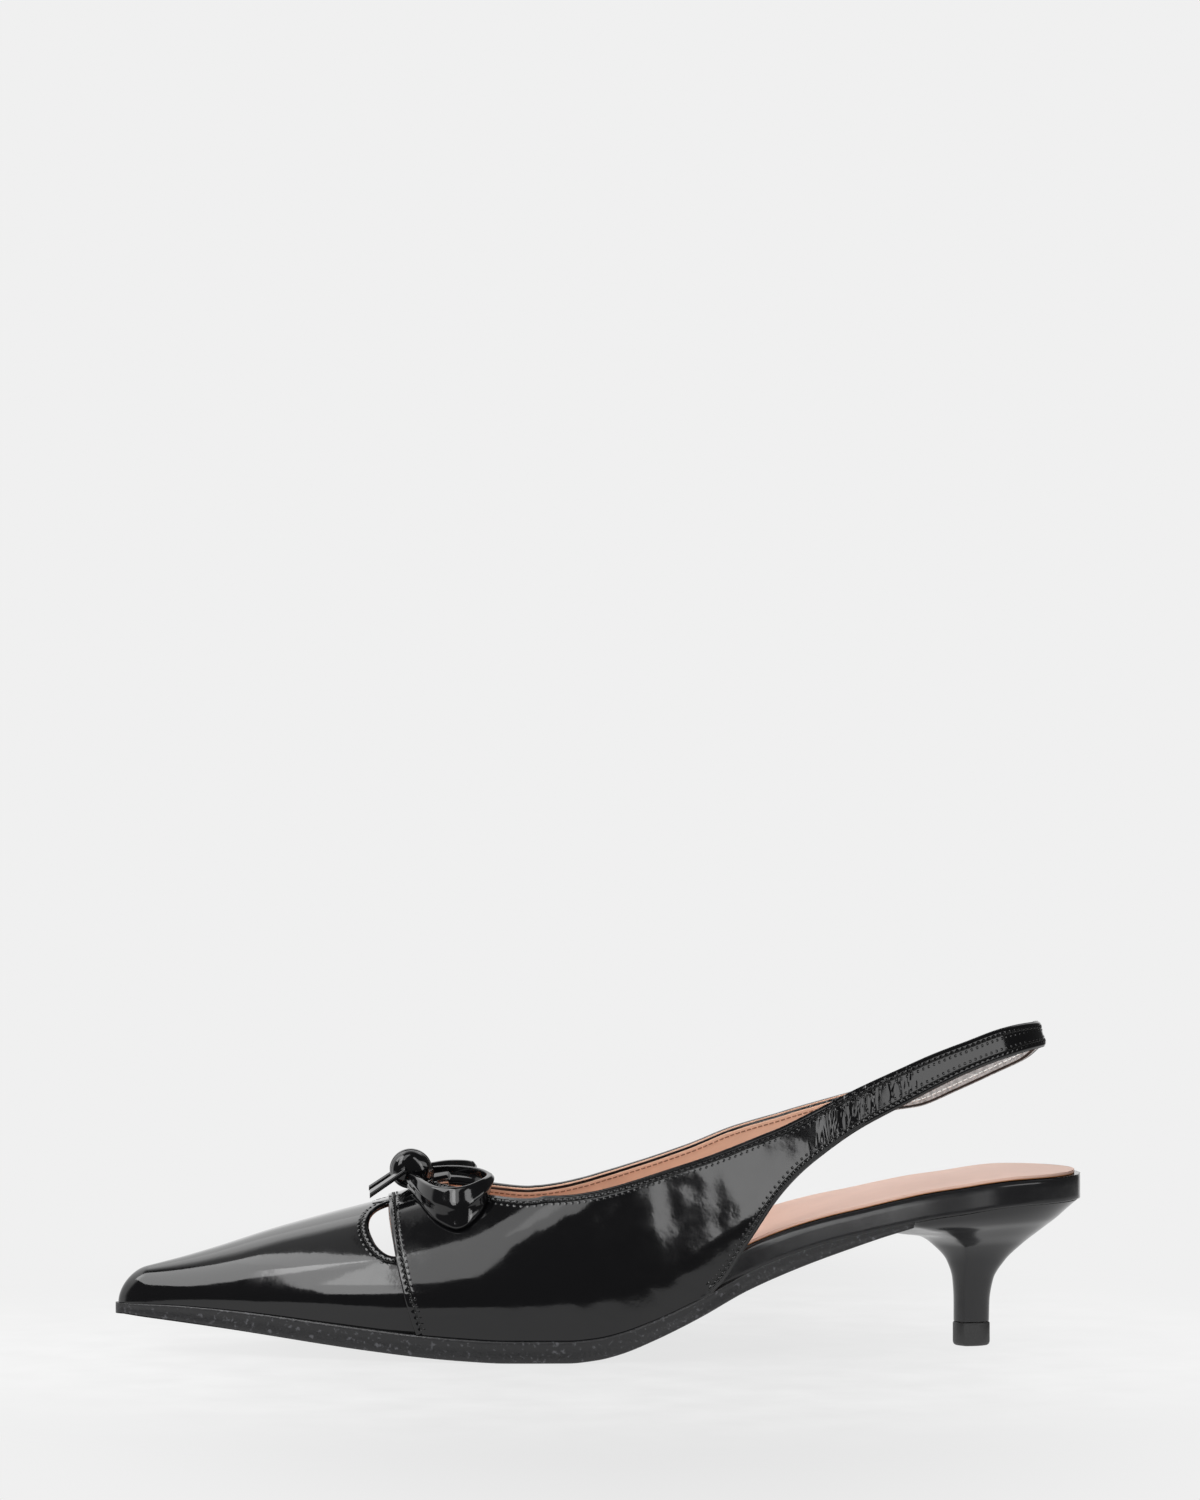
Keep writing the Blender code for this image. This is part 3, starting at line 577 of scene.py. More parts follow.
def corners(piece):
    places = np.zeros(len(piece.data.vertices) * 3, np.float32)
    piece.data.vertices.foreach_get("co", places)
    return places.reshape(-1, 3)


def open_middle(half):
    """Deletes the faces of the active half that lie in the middle plane, where the other half meets it."""
    on_middle = np.abs(corners(half)[:, 1]) < WELD / 10
    flags = [all(on_middle[index] for index in face.vertices) for face in half.data.polygons]
    half.data.vertices.foreach_set("select", np.zeros(len(on_middle), bool))
    half.data.edges.foreach_set("select", np.zeros(len(half.data.edges), bool))
    half.data.polygons.foreach_set("select", flags)
    bpy.ops.object.mode_set(mode="EDIT")
    bpy.ops.mesh.delete(type="FACE")
    bpy.ops.object.mode_set(mode="OBJECT")


def weld(fill=False, sharp=None):
    """Joins the active piece's corners that meet, closes what is left open if asked, and turns its faces
    outwards."""
    bpy.ops.object.mode_set(mode="EDIT")
    bpy.ops.mesh.select_mode(type="VERT")
    bpy.ops.mesh.select_all(action="SELECT")
    bpy.ops.mesh.remove_doubles(threshold=WELD)
    if fill:
        bpy.ops.mesh.select_all(action="DESELECT")
        bpy.ops.mesh.select_non_manifold()
        bpy.ops.mesh.fill_holes(sides=0)
        bpy.ops.mesh.select_all(action="SELECT")
    bpy.ops.mesh.normals_make_consistent(inside=False)
    bpy.ops.object.mode_set(mode="OBJECT")
    if sharp:
        bpy.ops.object.shade_smooth_by_angle(angle=sharp)
    else:
        bpy.ops.object.shade_smooth()


def around(points):
    """Rows of points with the first of each row repeated at its end."""
    return np.concatenate([points, points[:, :1]], 1)


def finish_piece(piece, finish, node):
    """Gives a piece its finish and its place in the frame."""
    piece.data.materials.clear()
    piece.data.materials.append(finish)
    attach(piece, "root")
    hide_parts(node)


def close_rings(name, rings, finish, slot, sharp=SHARP):
    """Rings of points as a closed piece, which takes the place of the node that its slot is named after."""
    piece = lay_grid(name, around(np.stack(rings)))
    weld(fill=True, sharp=sharp)
    finish_piece(piece, finish, slot)


def join(name, pieces):
    start_clear()
    for piece in pieces:
        piece.select_set(True)
    bpy.context.view_layer.objects.active = pieces[0]
    bpy.ops.object.join()
    pieces[0].name = pieces[0].data.name = name
    return pieces[0]


def spaced(places, spacing):
    """Positions along a line of points, as shares of its point numbers, at even steps of its length."""
    lengths = np.concatenate([[0], np.cumsum(np.linalg.norm(np.diff(places, axis=0), axis=-1))])
    count = max(2, int(round(lengths[-1] / spacing)) + 1)
    return np.interp(np.linspace(0, lengths[-1], count), lengths, np.arange(len(places)))


def distance(points, line):
    """Distance of each point from a line of points, worked out in batches."""
    ends = np.diff(line, axis=0)
    spans = np.maximum((ends * ends).sum(-1), 1e-16)
    flat = points.reshape(-1, 3)
    far = np.empty(len(flat))
    for start in range(0, len(flat), BATCH):
        way = flat[start : start + BATCH, None] - line[None, :-1]
        share = np.clip(np.einsum("psk,sk->ps", way, ends) / spans, 0, 1)
        far[start : start + BATCH] = np.linalg.norm(way - share[..., None] * ends, axis=-1).min(1)
    return far.reshape(points.shape[:-1])


class Signal:
    """A socket of a material's node, so that sums of values are written as Python."""

    def __init__(self, finish, socket):
        self.finish, self.socket = finish, socket

    def math(self, operation, one, two=0.0):
        return self.finish.node("ShaderNodeMath", {"operation": operation}, {0: one, 1: two})

    def __add__(self, other):
        return self.math("ADD", self, other)

    __radd__ = __add__

    def __mul__(self, other):
        return self.math("MULTIPLY", self, other)

    __rmul__ = __mul__

    def __sub__(self, other):
        return self.math("SUBTRACT", self, other)

    def __rsub__(self, other):
        return self.math("SUBTRACT", other, self)


class NodeWork:
    """A node tree that is put together from values and links."""

    def __init__(self, tree):
        self.tree = tree

    def feed(self, socket, value):
        if isinstance(value, Signal):
            self.tree.links.new(value.socket, socket)
        else:
            socket.default_value = value

    def node(self, kind, settings=None, inputs=None, output=0):
        made = self.tree.nodes.new(kind)
        for key, value in (settings or {}).items():
            if key == "stops":
                ramp = made.color_ramp
                while len(ramp.elements) < len(value):
                    ramp.elements.new(1.0)
                for stop, (position, shade) in zip(ramp.elements, value):
                    stop.position, stop.color = position, (shade, shade, shade, 1)
            else:
                setattr(made, key, value)
        for key, value in (inputs or {}).items():
            self.feed(made.inputs[key], value)
        return Signal(self, made.outputs[output])

    def place(self):
        return self.node("ShaderNodeTexCoord", output="Object")

    def axis(self, name, place=None):
        """One coordinate of the place on the piece."""
        return self.node("ShaderNodeSeparateXYZ", {}, {"Vector": place or self.place()}, name)

    def length(self, vector):
        return self.node("ShaderNodeVectorMath", {"operation": "LENGTH"}, {0: vector}, "Value")

    def between(self, value, low, high, start=0.0, end=1.0):
        """Value moved smoothly from one range to another."""
        inputs = {"Value": value, "From Min": low, "From Max": high, "To Min": start, "To Max": end}
        return self.node("ShaderNodeMapRange", {"interpolation_type": "SMOOTHSTEP"}, inputs)

    def blend(self, share, one, two):
        """A colour between two others."""
        return self.node("ShaderNodeMix", {"data_type": "RGBA"}, {0: share, 6: one, 7: two}, 2)


class Finish(NodeWork):
    """A material that is put together from nodes."""

    def __init__(self, name):
        self.material = bpy.data.materials.new(name)
        self.material.use_nodes = True
        super().__init__(self.material.node_tree)
        self.shader = self.tree.nodes["Principled BSDF"]

    def noted(self, name):
        """A number that the piece keeps for each vertex."""
        return self.node("ShaderNodeAttribute", {"attribute_name": name}, output="Fac")

    def noise(self, size, detail=2.0):
        """Noise from 0 to 1 whose lumps have about this size."""
        inputs = {"Vector": self.place(), "Scale": 1 / size, "Detail": detail}
        return self.node("ShaderNodeTexNoise", {}, inputs)

    def cells(self, size):
        return self.node("ShaderNodeTexVoronoi", {}, {"Vector": self.place(), "Scale": 1 / size}, "Distance")

    def uneven(self, size, value, most):
        """A value that wanders up to most times itself in lumps of about this size."""
        return self.between(self.noise(size), 0.3, 0.7, value, value * most)

    def in_sling(self):
        """0 in front of the place where the painted reflection inside the sling starts, and 1 behind it."""
        return self.between(self.axis("X"), PAINTED_SHEEN_START, PAINTED_SHEEN_START + 0.0005)

    def bump(self, height, distance, under=None):
        """Relief in metres: height from 0 to 1 times distance."""
        inputs = {"Height": height, "Distance": distance, "Strength": 1.0}
        if under:
            inputs["Normal"] = under
        return self.node("ShaderNodeBump", {}, inputs)

    def shade(self, **values):
        for name, value in values.items():
            self.feed(self.shader.inputs[name.replace("_", " ")], value)
        return self.material


# Where the painted reflection inside the sling, and the painted highlight on its stitches, start.
PAINTED_SHEEN_START = 0.0835
GATHERS = {"Rotation": (0, math.radians(24), 0), "Scale": (1 / 0.0021, 1 / 0.02, 1 / 0.009)}


def shade_of(colour, factor=1.0):
    return (*(channel * factor for channel in colour), 1.0)


def patent_finish(colours, finish):
    """Black patent leather: its swell is calmer at the toe, and it is gathered at the root of the sling."""
    made = Finish("patent_leather")
    along = made.axis("X")
    swell = made.bump(made.noise(0.011, 1.0) * made.between(along, -0.075, 0.02, 0.35, 1.0), 0.00024)
    across = made.node("ShaderNodeMapping", {}, {"Vector": made.place(), **GATHERS})
    gathers = made.node("ShaderNodeTexNoise", {}, {"Vector": across, "Scale": 1.0, "Detail": 1.5})
    root = made.between(along, 0.052, 0.066) * made.between(along, 0.078, 0.090, 1.0, 0.0)
    creased = made.bump(made.between(gathers, 0.42, 0.68) * root, 0.00022, swell)
    return made.shade(
        Base_Color=shade_of(colours.patent),
        Roughness=made.uneven(0.004, finish.patent_roughness, 1.5),
        Normal=made.bump(made.noise(0.0013, 1.0), 0.000006, creased),
    )


def covering_finish(colours, finish):
    made = Finish("covered_heel")
    return made.shade(
        Base_Color=shade_of(colours.covering),
        Roughness=made.uneven(0.003, finish.covering_roughness, 1.3),
        Normal=made.bump(made.noise(0.012, 1.0), 0.00006),
    )


def lining_finish(colours):
    """Tan leather with pores. Inside the sling it has a painted reflection instead: grey, lighter in
    patches.
    """
    made = Finish("lining_leather")
    pores = made.cells(0.0006)
    tan = made.blend(made.noise(0.008), shade_of(colours.lining), shade_of(colours.lining, 0.85))
    # Painted reflection: the sling's inside is painted grey, lighter in patches, for light reflected there.
    sheen_patches = made.between(made.noise(0.0012, 4.0), 0.3, 0.8)
    painted_sheen = made.blend(sheen_patches, shade_of(colours.sling_painted_sheen), shade_of(colours.sling_painted_sheen, 2.0))
    return made.shade(
        Base_Color=made.blend(made.in_sling(), tan, painted_sheen),
        Roughness=made.between(pores, 0, 1, 0.45, 0.6),
        Normal=made.bump(pores, 0.00004),
    )


def sock_finish(colours):
    made = Finish("sock_leather")
    face = made.blend(made.noise(0.006), shade_of(colours.sock), shade_of(colours.sock, 0.88))
    return made.shade(
        Base_Color=made.blend(made.noted("edge"), face, shade_of(colours.sock_edge)),
        Roughness=0.5,
        Normal=made.bump(made.cells(0.0005), 0.00003),
    )


def rubber_finish(name, colour, grain, pale, palest, roughness):
    """Black rubber with a rough grain. Pale gives the noise of painted glint specks where it is lighter,
    else the grain is lighter, and palest says how much.
    """
    made = Finish(name)
    rough = made.noise(*grain)
    share = rough if pale is None else made.between(made.noise(*pale), 0.56, 0.74)
    return made.shade(
        Base_Color=made.blend(share, shade_of(colour), shade_of(colour, palest)),
        Roughness=made.between(rough, 0, 1, *roughness),
        Normal=made.bump(rough, 0.0001),
    )


def sole_finish(colours):
    # Painted highlight: the sole's pale specks stand in for glints on its rough bead.
    return rubber_finish("sole_rubber", colours.sole, (0.0008, 4.0), (0.0013, 3.0), 7.0, (0.22, 0.5))


def tip_finish(colours):
    return rubber_finish("top_piece_rubber", colours.tip, (0.0006, 3.0), None, 1.8, (0.4, 0.65))


def thread_finish(name, colour, pale=None):
    made = Finish(name)
    twist = made.noise(0.00025, 1.0)
    shade = made.blend(twist, shade_of(colour, 0.7), shade_of(colour, 1.3))
    # Painted highlight: the stitches inside the sling are painted pale.
    if pale:
        shade = made.blend(made.in_sling(), shade, shade_of(pale))
    return made.shade(Base_Color=shade, Roughness=0.65, Normal=made.bump(twist, 0.00004))


FOLD_RISE = 0.00013
FOLD_DIP = 0.0004
LINING = 0.0004
CAP_LAP = 0.005
LAP_RUN = 0.0015
LINING_LAP = 0.001
LINING_LIFT = 0.0005
LINING_EDGE = 0.001
GROOVE_RUN = 0.0006
RIM_TUCK = (0.0011, 0.0014)
RIM_TURNS = 11
CAP_END = SEAM_X - 0.004
CAP_BEND = 0.02
LINE_POINTS, SLING_POINTS, CUT_POINTS = 160, 300, 60
CUT_MARGIN, CUT_EASE = 0.03, 0.05
RIM_SPACING = 0.0003
LINE_SPACING = 0.0008
HAIR = 0.0001

# Outer face of a folded rim from the groove to the fold: distance from the edge as a share of the fold's
# width and a length past it, drop as a share of FOLD_RISE, share of the pucker, and a further drop.
RIM = (
    (1.0, 0.0015, 1.0, 0.0, HAIR),
    (1.0, 0.0011, 1.0, 0.3, 0.00002),
    (1.0, 0.0007, 1.0, 1.0, 0.0),
    (1.0, 0.0004, 1.0, 1.0, 0.00006),
    (1.0, 0.0002, 1.0, 0.0, FOLD_DIP),
    (1.0, 0.0, 1.8, 1.0, 0.0),
    (1.0, -0.00025, 0.7, 1.2, 0.0),
    (0.72, 0.0, 0.15, 0.7, 0.0),
    (0.56, 0.0, 0.0, 0.0, 0.0),
)


def cluster(low, high, count):
    """Places that crowd towards both ends."""
    return low + (high - low) * (1 - np.cos(np.linspace(0, math.pi, count))) / 2


def cap_half(side):
    """Columns of half the toe cap from the sole to the crest, close together at the cut-out's corners."""
    low = float(cut_low(side))
    return np.concatenate(
        [
            np.linspace(0, low - CUT_MARGIN, 15)[:-1],
            np.linspace(low - CUT_MARGIN, low, 7)[:-1],
            cluster(low, CUT_HIGH, 36)[:-1],
            np.linspace(CUT_HIGH, 1, 13),
        ]
    )


def cap_turns(medial):
    """Columns of the toe cap from the lateral to the medial edge of the sole."""
    return np.concatenate([cap_half(LATERAL) - 1, (1 - cap_half(medial)[:-1])[::-1]])


def beside_cut(turn):
    """Distance of a place along the girth from the cut-out, in shares of the girth."""
    girth = 1 - np.abs(turn)
    return np.maximum(np.maximum(cut_low(turn) - girth, girth - CUT_HIGH), 0)


def cap_places(lap):
    """Runs and turns of the toe cap's grid. It goes on under the quarters by lap beside the cut-outs."""
    first, last = cap_turns(LATERAL), cap_turns(MEDIAL)
    edge = cut_edge(last) + lap * smooth(beside_cut(last) / CUT_EASE)
    base = TOE_X + TOE_NOSE * (1 - np.cos(np.linspace(0, math.pi / 2, 15)))[:-1]
    base = np.concatenate([base, np.linspace(TOE_X + TOE_NOSE, CAP_END, 80)])
    bend = smooth((base - CAP_END) / CAP_BEND + 1)[:, None]
    return base[:, None] + bend * (edge - CAP_END), first + bend * (last - first)


def quarter_places(side, rows, columns):
    """Runs and turns of a quarter's grid, from the seam to the end of the sling and from the foot to the
    top."""
    throat = THROAT_END - THROAT_X
    top = [
        np.linspace(SEAM_X, THROAT_X, 2 * rows + 1),
        (THROAT_X + throat * (1 - np.cos(np.linspace(0, math.pi / 2, 6 * rows + 1))))[1:],
        np.linspace(THROAT_END, QUARTER_END, 9 * rows + 1)[1:],
    ]
    top = np.concatenate(top)
    rear = np.linspace(QUARTER_END, BACK_RUN, 14 * rows + 1)[1:]
    foot = np.concatenate([np.linspace(SEAM_X + SEAM_SWEEP, QUARTER_END, len(top)), rear])
    top = np.concatenate([top, rear])
    low, high = foot_girth(side, foot)[:, None], top_girth(side, top)[:, None]
    share = np.linspace(0, 1, columns)
    share = 0.5 * share + 0.5 * (1 - np.cos(math.pi * share)) / 2
    lead = 1 - (1 - share_of_height(share)) ** SEAM_POWER
    return foot[:, None] + (top - foot)[:, None] * lead, side * (1 - low - (high - low) * share)


def topline():
    """Run and turn along the opening's edge: from the back along the lateral side, across the strip and
    back along the medial side."""
    throat = THROAT_X + (THROAT_END - THROAT_X) * (1 - np.cos(np.linspace(0, math.pi / 2, LINE_POINTS)))
    run = np.concatenate([throat, np.linspace(THROAT_END, BACK_RUN, SLING_POINTS)[1:]])
    lateral, medial = top_girth(LATERAL, run) - 1, 1 - top_girth(MEDIAL, run)
    return np.concatenate([run[::-1], run[1:]]), np.concatenate([lateral[::-1], medial[1:]])


def sling_foot():
    """Run and turn along the sling's lower edge, from the lateral side round the back to the medial side."""
    run = np.linspace(QUARTER_END, BACK_RUN, SLING_POINTS)
    lateral, medial = foot_girth(LATERAL, run) - 1, 1 - foot_girth(MEDIAL, run)
    return np.concatenate([run, run[::-1]]), np.concatenate([lateral, medial[::-1]])


def front_edge():
    """Run and turn along the quarters' front edge, from the medial to the lateral side."""
    girth = np.linspace(0, 1, LINE_POINTS)
    turn = np.concatenate([1 - girth, (girth - 1)[-2::-1]])
    return seam_x(1 - np.abs(turn)), turn


def cut_rim(side):
    """Run and turn along the toe cap's edge at a cut-out."""
    turn = np.sort(side * (1 - cluster(float(cut_low(side)), CUT_HIGH, CUT_POINTS)))
    return cut_edge(turn), turn


def even(run, turn, spacing):
    """The same line with places at even distances."""
    at = spaced(last_point(run, turn), spacing)
    every = np.arange(len(run))
    return np.interp(at, every, run), np.interp(at, every, turn)


def edge_frame(run, turn, closed):
    """Directions along an edge and from it into the sheet, which lies to the left of the way."""
    here = last_point(run, turn)
    along = np.gradient(here, axis=0)
    if closed:
        along[0] = along[-1] = here[1] - here[-2]
    along = unit(along)
    return here, along, unit(np.cross(skin_normal(run, turn), along))


def rim(name, sizes, line, top, low, closed=False):
    """Folded rim that is swept along an edge: it rises from the stitched groove, rolls round the edge and
    ends inside the wall. Top and low give the heights of its two faces over the last."""
    stitches = len(even(*line, sizes.stitch_pitch)[0]) - 1
    run, turn = even(*line, RIM_SPACING)
    top, low = top(run, turn) + FOLD_RISE, low(run, turn)
    here, _, inward = edge_frame(run, turn, closed)
    puff = sizes.pucker * -np.cos(2 * math.pi * stitches * np.linspace(0, 1, len(run)))
    profile = [
        (sizes.fold * share + past, top - FOLD_RISE * rise + puff * pucker - drop)
        for share, past, rise, pucker, drop in RIM
    ]
    middle, radius = (top + low) / 2, (top - low) / 2
    for angle in np.linspace(0, math.pi, RIM_TURNS):
        profile.append((radius * (1 - math.sin(angle)), middle + radius * math.cos(angle)))
    profile += zip(RIM_TUCK, (low, low + FOLD_DIP))
    columns = []
    for depth, height in profile[::-1]:
        place = settle(run, turn, here + inward * (depth + 0 * run)[:, None])
        columns.append(skin_point(*place, height))
    points = np.stack(columns, 1)
    if not closed:
        ends = points.mean(1, keepdims=True) + 0 * points
        points = np.concatenate([ends[:1], points, ends[-1:]])
    piece = lay_grid(name, around(points))
    weld()
    return piece


def wall_of(run, turn=None):
    """Thickness of the quarters and the sling."""
    return QUARTER_WALL + (SLING_WALL - QUARTER_WALL) * smooth((run_x(run) - SLING_TURN) / BLEND_RUN)


def at_height(height):
    """The same height over the last at every place."""
    return lambda run, turn: height + 0 * run


def lapped(turn):
    """1 where the quarter's front edge lies on the toe cap and 0 at the cut-outs."""
    return smooth(beside_cut(turn) / CUT_MARGIN)


def edge_distance(points, *lines):
    """Distance of each point from the nearest of some edges."""
    return np.minimum.reduce([distance(points, last_point(*even(*line, LINE_SPACING))) for line in lines])


def raised(here, normal, *heights):
    """Points at some heights over the same places."""
    return [here + normal * height[..., None] for height in heights]


def groove(sizes, far):
    """How far the wall dips under a folded rim."""
    return FOLD_DIP * smooth((sizes.fold - far) / GROOVE_RUN)


def make_cap(finish, sizes):
    here = last_point(*cap_places(CAP_LAP))
    normal = unit(np.cross(np.gradient(here, axis=0), np.gradient(here, axis=1)))
    normal[0] = unit(normal[0] + normal[0, ::-1] * (1, -1, 1))
    normal[0, :, 1] = 0
    dip = groove(sizes, edge_distance(here, cut_rim(LATERAL), cut_rim(MEDIAL)))
    outer, inner = raised(here, unit(normal), CAP_WALL - dip, LINING + dip)
    ring = np.concatenate([outer, inner[:, ::-1]], 1)
    ends = (ring + ring[:, ::-1])[-1:] / 2
    parts = [lay_grid("toe_cap_wall", around(np.concatenate([ring, ends])))]
    weld()
    for side in (LATERAL, MEDIAL):
        parts.append(rim("cut_out_rim", sizes, cut_rim(side), at_height(CAP_WALL), at_height(HAIR)))
    finish_piece(join("toe_cap", parts), finish, "upper")


def make_quarters(finish, sizes):
    line, foot, front = lines = (topline(), sling_foot(), front_edge())
    halves = []
    for side in (LATERAL, MEDIAL):
        run, turn = quarter_places(side, 10, 52)
        here, wall = last_point(run, turn), wall_of(run)
        cover = lapped(turn) * (1 - smooth((edge_distance(here, front) - CAP_LAP) / LAP_RUN))
        dip = groove(sizes, edge_distance(here, *lines))
        low = np.minimum(LINING + (CAP_WALL - LINING) * cover + dip, wall - dip - HAIR)
        outer, inner = raised(here, skin_normal(run, turn), wall - dip, low)
        ring = np.concatenate([outer, inner[:, ::-4], inner[:, :1]], 1)
        edge = (outer[0] + inner[0]) / 2
        first = np.concatenate([edge, edge[::-4], edge[:1]])[None]
        halves.append(lay_grid("quarter_wall", around(np.concatenate([first, ring]))))
        open_middle(halves[-1])
    walls = join("quarter_walls", halves)
    weld()
    low = lambda run, turn: HAIR + (CAP_WALL - HAIR) * lapped(turn)
    rims = [
        rim("topline_rim", sizes, line, wall_of, at_height(HAIR), closed=True),
        rim("sling_rim", sizes, foot, wall_of, at_height(HAIR)),
        rim("front_rim", sizes, front, wall_of, low),
    ]
    finish_piece(join("quarters", [walls, *rims]), finish, "upper")


def lining_faces(here, normal, *lines):
    """Inner and outer face of the lining, which rises under the rims' rolled edges."""
    lift = LINING_LIFT * smooth((LINING_EDGE - edge_distance(here, *lines)) / LINING_LIFT)
    return raised(here, normal, lift, lift + LINING)


def make_lining(finish):
    here = last_point(*cap_places(LINING_LAP))
    normal = unit(np.cross(np.gradient(here, axis=0), np.gradient(here, axis=1)))
    inner, outer = lining_faces(here, normal, cut_rim(LATERAL), cut_rim(MEDIAL))
    ring = np.concatenate([outer, inner[:, ::-1]], 1)[2::2]
    closed = (ring + ring[:, ::-1]) / 2
    cap = lay_grid("cap_lining", around(np.concatenate([closed[:1], ring, closed[-1:]])))
    weld()
    halves = []
    for side in (LATERAL, MEDIAL):
        run, turn = quarter_places(side, 8, 48)
        here, normal = last_point(run, turn), skin_normal(run, turn)
        inner, outer = lining_faces(here, normal, topline(), sling_foot(), front_edge())
        ring = np.concatenate([inner, outer[:, ::-1]], 1)
        first = (ring + ring[:, ::-1])[:1] / 2
        halves.append(lay_grid("quarter_lining", around(np.concatenate([first, ring]))))
        open_middle(halves[-1])
    quarters = join("quarter_lining", halves)
    weld()
    finish_piece(join("lining", [cap, quarters]), finish, "upper")


ACROSS = tuple(np.linspace(-0.97, 0.97, 25))
EDGE_COUNT = 5
TOE_ROWS, SEAT_ROWS = 14, 24
TOE_END, SOCK_TOE_END, SEAT_START = -0.1215, -0.1203, 0.103
LAYER_STEP = 0.0012
SOLE_STEP = 0.001
SEAM_LAP = 0.00005


def layer(x, grow, low, high, edge, bow=0.0, spread=1.0):
    """Sections of a flat layer between the faces low and high, around from the lateral side's foot over the
    underside. Edge lists, from the bottom up, how far each point of the side is drawn in and its share of
    the height. The middle of a section bows forward, and spread 0 closes it."""
    columns = []
    bow, spread = bow + 0 * x, spread + 0 * x
    plan = [(LATERAL, inset, height) for inset, height in edge[::-1]]
    plan += [(share, None, 0.0) for share in ACROSS]
    plan += [(MEDIAL, inset, height) for inset, height in edge]
    plan += [(share, None, 1.0) for share in ACROSS[::-1]]
    for share, inset, height in plan:
        width = bed_width(np.sign(share) + 0 * x, x, grow)
        if inset is not None:
            share = share * (1 - inset / np.maximum(width, 4 * SOLE_EDGE_ROUND))
        place, y = x - bow * (1 - share * share), share * width
        bottom, top = low(place, y), high(place, y)
        columns.append(np.stack([place, y, bottom + (top - bottom) * (0.5 + (height - 0.5) * spread)], -1))
    return np.stack(columns, 1)


def toe_rows(grow):
    start, nose = TOE_X - grow, TOE_NOSE + grow
    return start + nose * (1 - np.cos(np.linspace(0, math.pi / 2, TOE_ROWS)))[:-1]


def seat_rows(grow):
    back, radius = LENGTH / 2 + grow, SEAT_RADIUS + grow
    return back - radius * (1 - np.sin(np.linspace(0, math.pi / 2, SEAT_ROWS)))


def rounded_edge(top, bottom, depth):
    """Side of a layer of a given depth, rounded by the radii top and bottom."""
    angles = np.linspace(0, math.pi / 2, EDGE_COUNT)
    out, up = 1 - np.sin(angles), 1 - np.cos(angles)
    return [*zip(bottom * out, bottom * up / depth), *zip(top * up, 1 - top * out / depth)]


def make_layer(name, x, finish, slot, *shape):
    """A flat layer as a piece, which takes the place of the node that its slot is named after."""
    piece = lay_grid(name, around(layer(x, *shape)))
    weld()
    finish_piece(piece, finish, slot)


def make_footbed(finish):
    edge = rounded_edge(RAND_ROUND, RAND_FOOT_ROUND, RAND_THICKNESS)
    edge[EDGE_COUNT:EDGE_COUNT] = [(0.0, share) for share in (0.2, 0.35, 0.5, 0.65)]
    x = np.concatenate([toe_rows(-BOARD_INSET), np.arange(TOE_END, SEAT_START, LAYER_STEP), seat_rows(0.0)])
    make_layer("footbed", x, finish, "insole_board", board_grow(x), board_low, board_top, edge)


def make_sock(finish):
    """The sock, with the attribute edge on its raw side."""
    edge = rounded_edge(SOCK_ROUND, SOCK_FOOT_ROUND, SOCK_THICKNESS)
    middle = np.arange(SOCK_TOE_END, SEAT_START, LAYER_STEP)
    x = np.concatenate([toe_rows(-SOCK_INSET), middle, seat_rows(-SOCK_INSET)])
    points = around(layer(x, -SOCK_INSET, sock_low, sock_high, edge))
    piece = lay_grid("sock", points)
    raw = np.zeros(points.shape[:2])
    raw[:, EDGE_COUNT : 2 * EDGE_COUNT] = 1
    raw[:, 2 * EDGE_COUNT + len(ACROSS) : 3 * EDGE_COUNT + len(ACROSS)] = 1
    layer_of_edge = piece.data.attributes.new("edge", "FLOAT", "POINT")
    layer_of_edge.data.foreach_set("value", raw.astype(np.float32).reshape(-1))
    weld()
    finish_piece(piece, finish, "insole")


def sole_grow(x):
    """The sole stands under the upper's wall in front and draws in under the footbed behind the quarters."""
    wide = GAP + QUARTER_WALL + SOLE_MARGIN
    lap = smooth((x - SEAM_X) / BLEND_RUN + 0.25)
    behind = smooth((x - QUARTER_END) / BLEND_RUN + 0.4)
    return (TOE_ALLOWANCE + (wide - TOE_ALLOWANCE) * lap) * (1 - behind)


def sole_closed(x, y=0.0):
    """The dressed sole reaches up into the upper's foot, so that no light shows between them."""
    return sole_top(x, y) + SEAM_GAP + SEAM_LAP


def make_outsole(finish):
    edge = [
        (SOLE_EDGE_ROUND, 0.0),
        (SOLE_EDGE_ROUND * 0.5, 0.03),
        (SOLE_EDGE_ROUND * 0.3, 0.1),
        (SOLE_EDGE_ROUND * 0.15 + SOLE_BEAD * 0.5, 0.24),
        (SOLE_BEAD * 1.2, 0.42),
        (SOLE_BEAD * 1.4, 0.58),
        (SOLE_BEAD * 1.1, 0.68),
        (SOLE_BEAD * 0.2, 0.8),
        (0.0, 0.88),
        (SOLE_BEAD * 0.2, 0.96),
        (SOLE_BEAD * 1.2, 1.0),
    ]
    last = HEEL_CORNER - 2 * GAP
    middle = np.arange(TOE_END, last - 2 * GAP, SOLE_STEP)
    x = np.concatenate([toe_rows(TOE_ALLOWANCE), middle, [last, last]])
    spread = np.ones(len(x))
    spread[-1] = 0
    bow = (HEEL_CORNER - HEEL_BREAST) * smooth(1 - (last - x) / HEEL_LIP_RUN)
    shape = (sole_grow(x), sole_bottom, sole_closed, edge, bow, spread)
    make_layer("outsole_dressed", x, finish, "outsole", *shape)


HEEL_POINTS = 160
HEEL_SECTIONS = 90
HEEL_POWER, SEAT_POWER = 2.3, 0.3
ARC_POINTS, BREAST_POINTS, FINE_STEP = 240, 160, 1e-5
SOFTEN = np.array([1, 3, 4, 3, 1]) / 12
# The top piece's sections from the floor up: how far each is drawn in, and its height.
TIP_SECTIONS = (
    (0.0012, 0.0),
    (0.00055, 0.00012),
    (0.0002, 0.0004),
    (0.0, 0.001),
    (0.0, TIP_HEIGHT - GAP),
    (0.0002, TIP_HEIGHT),
)


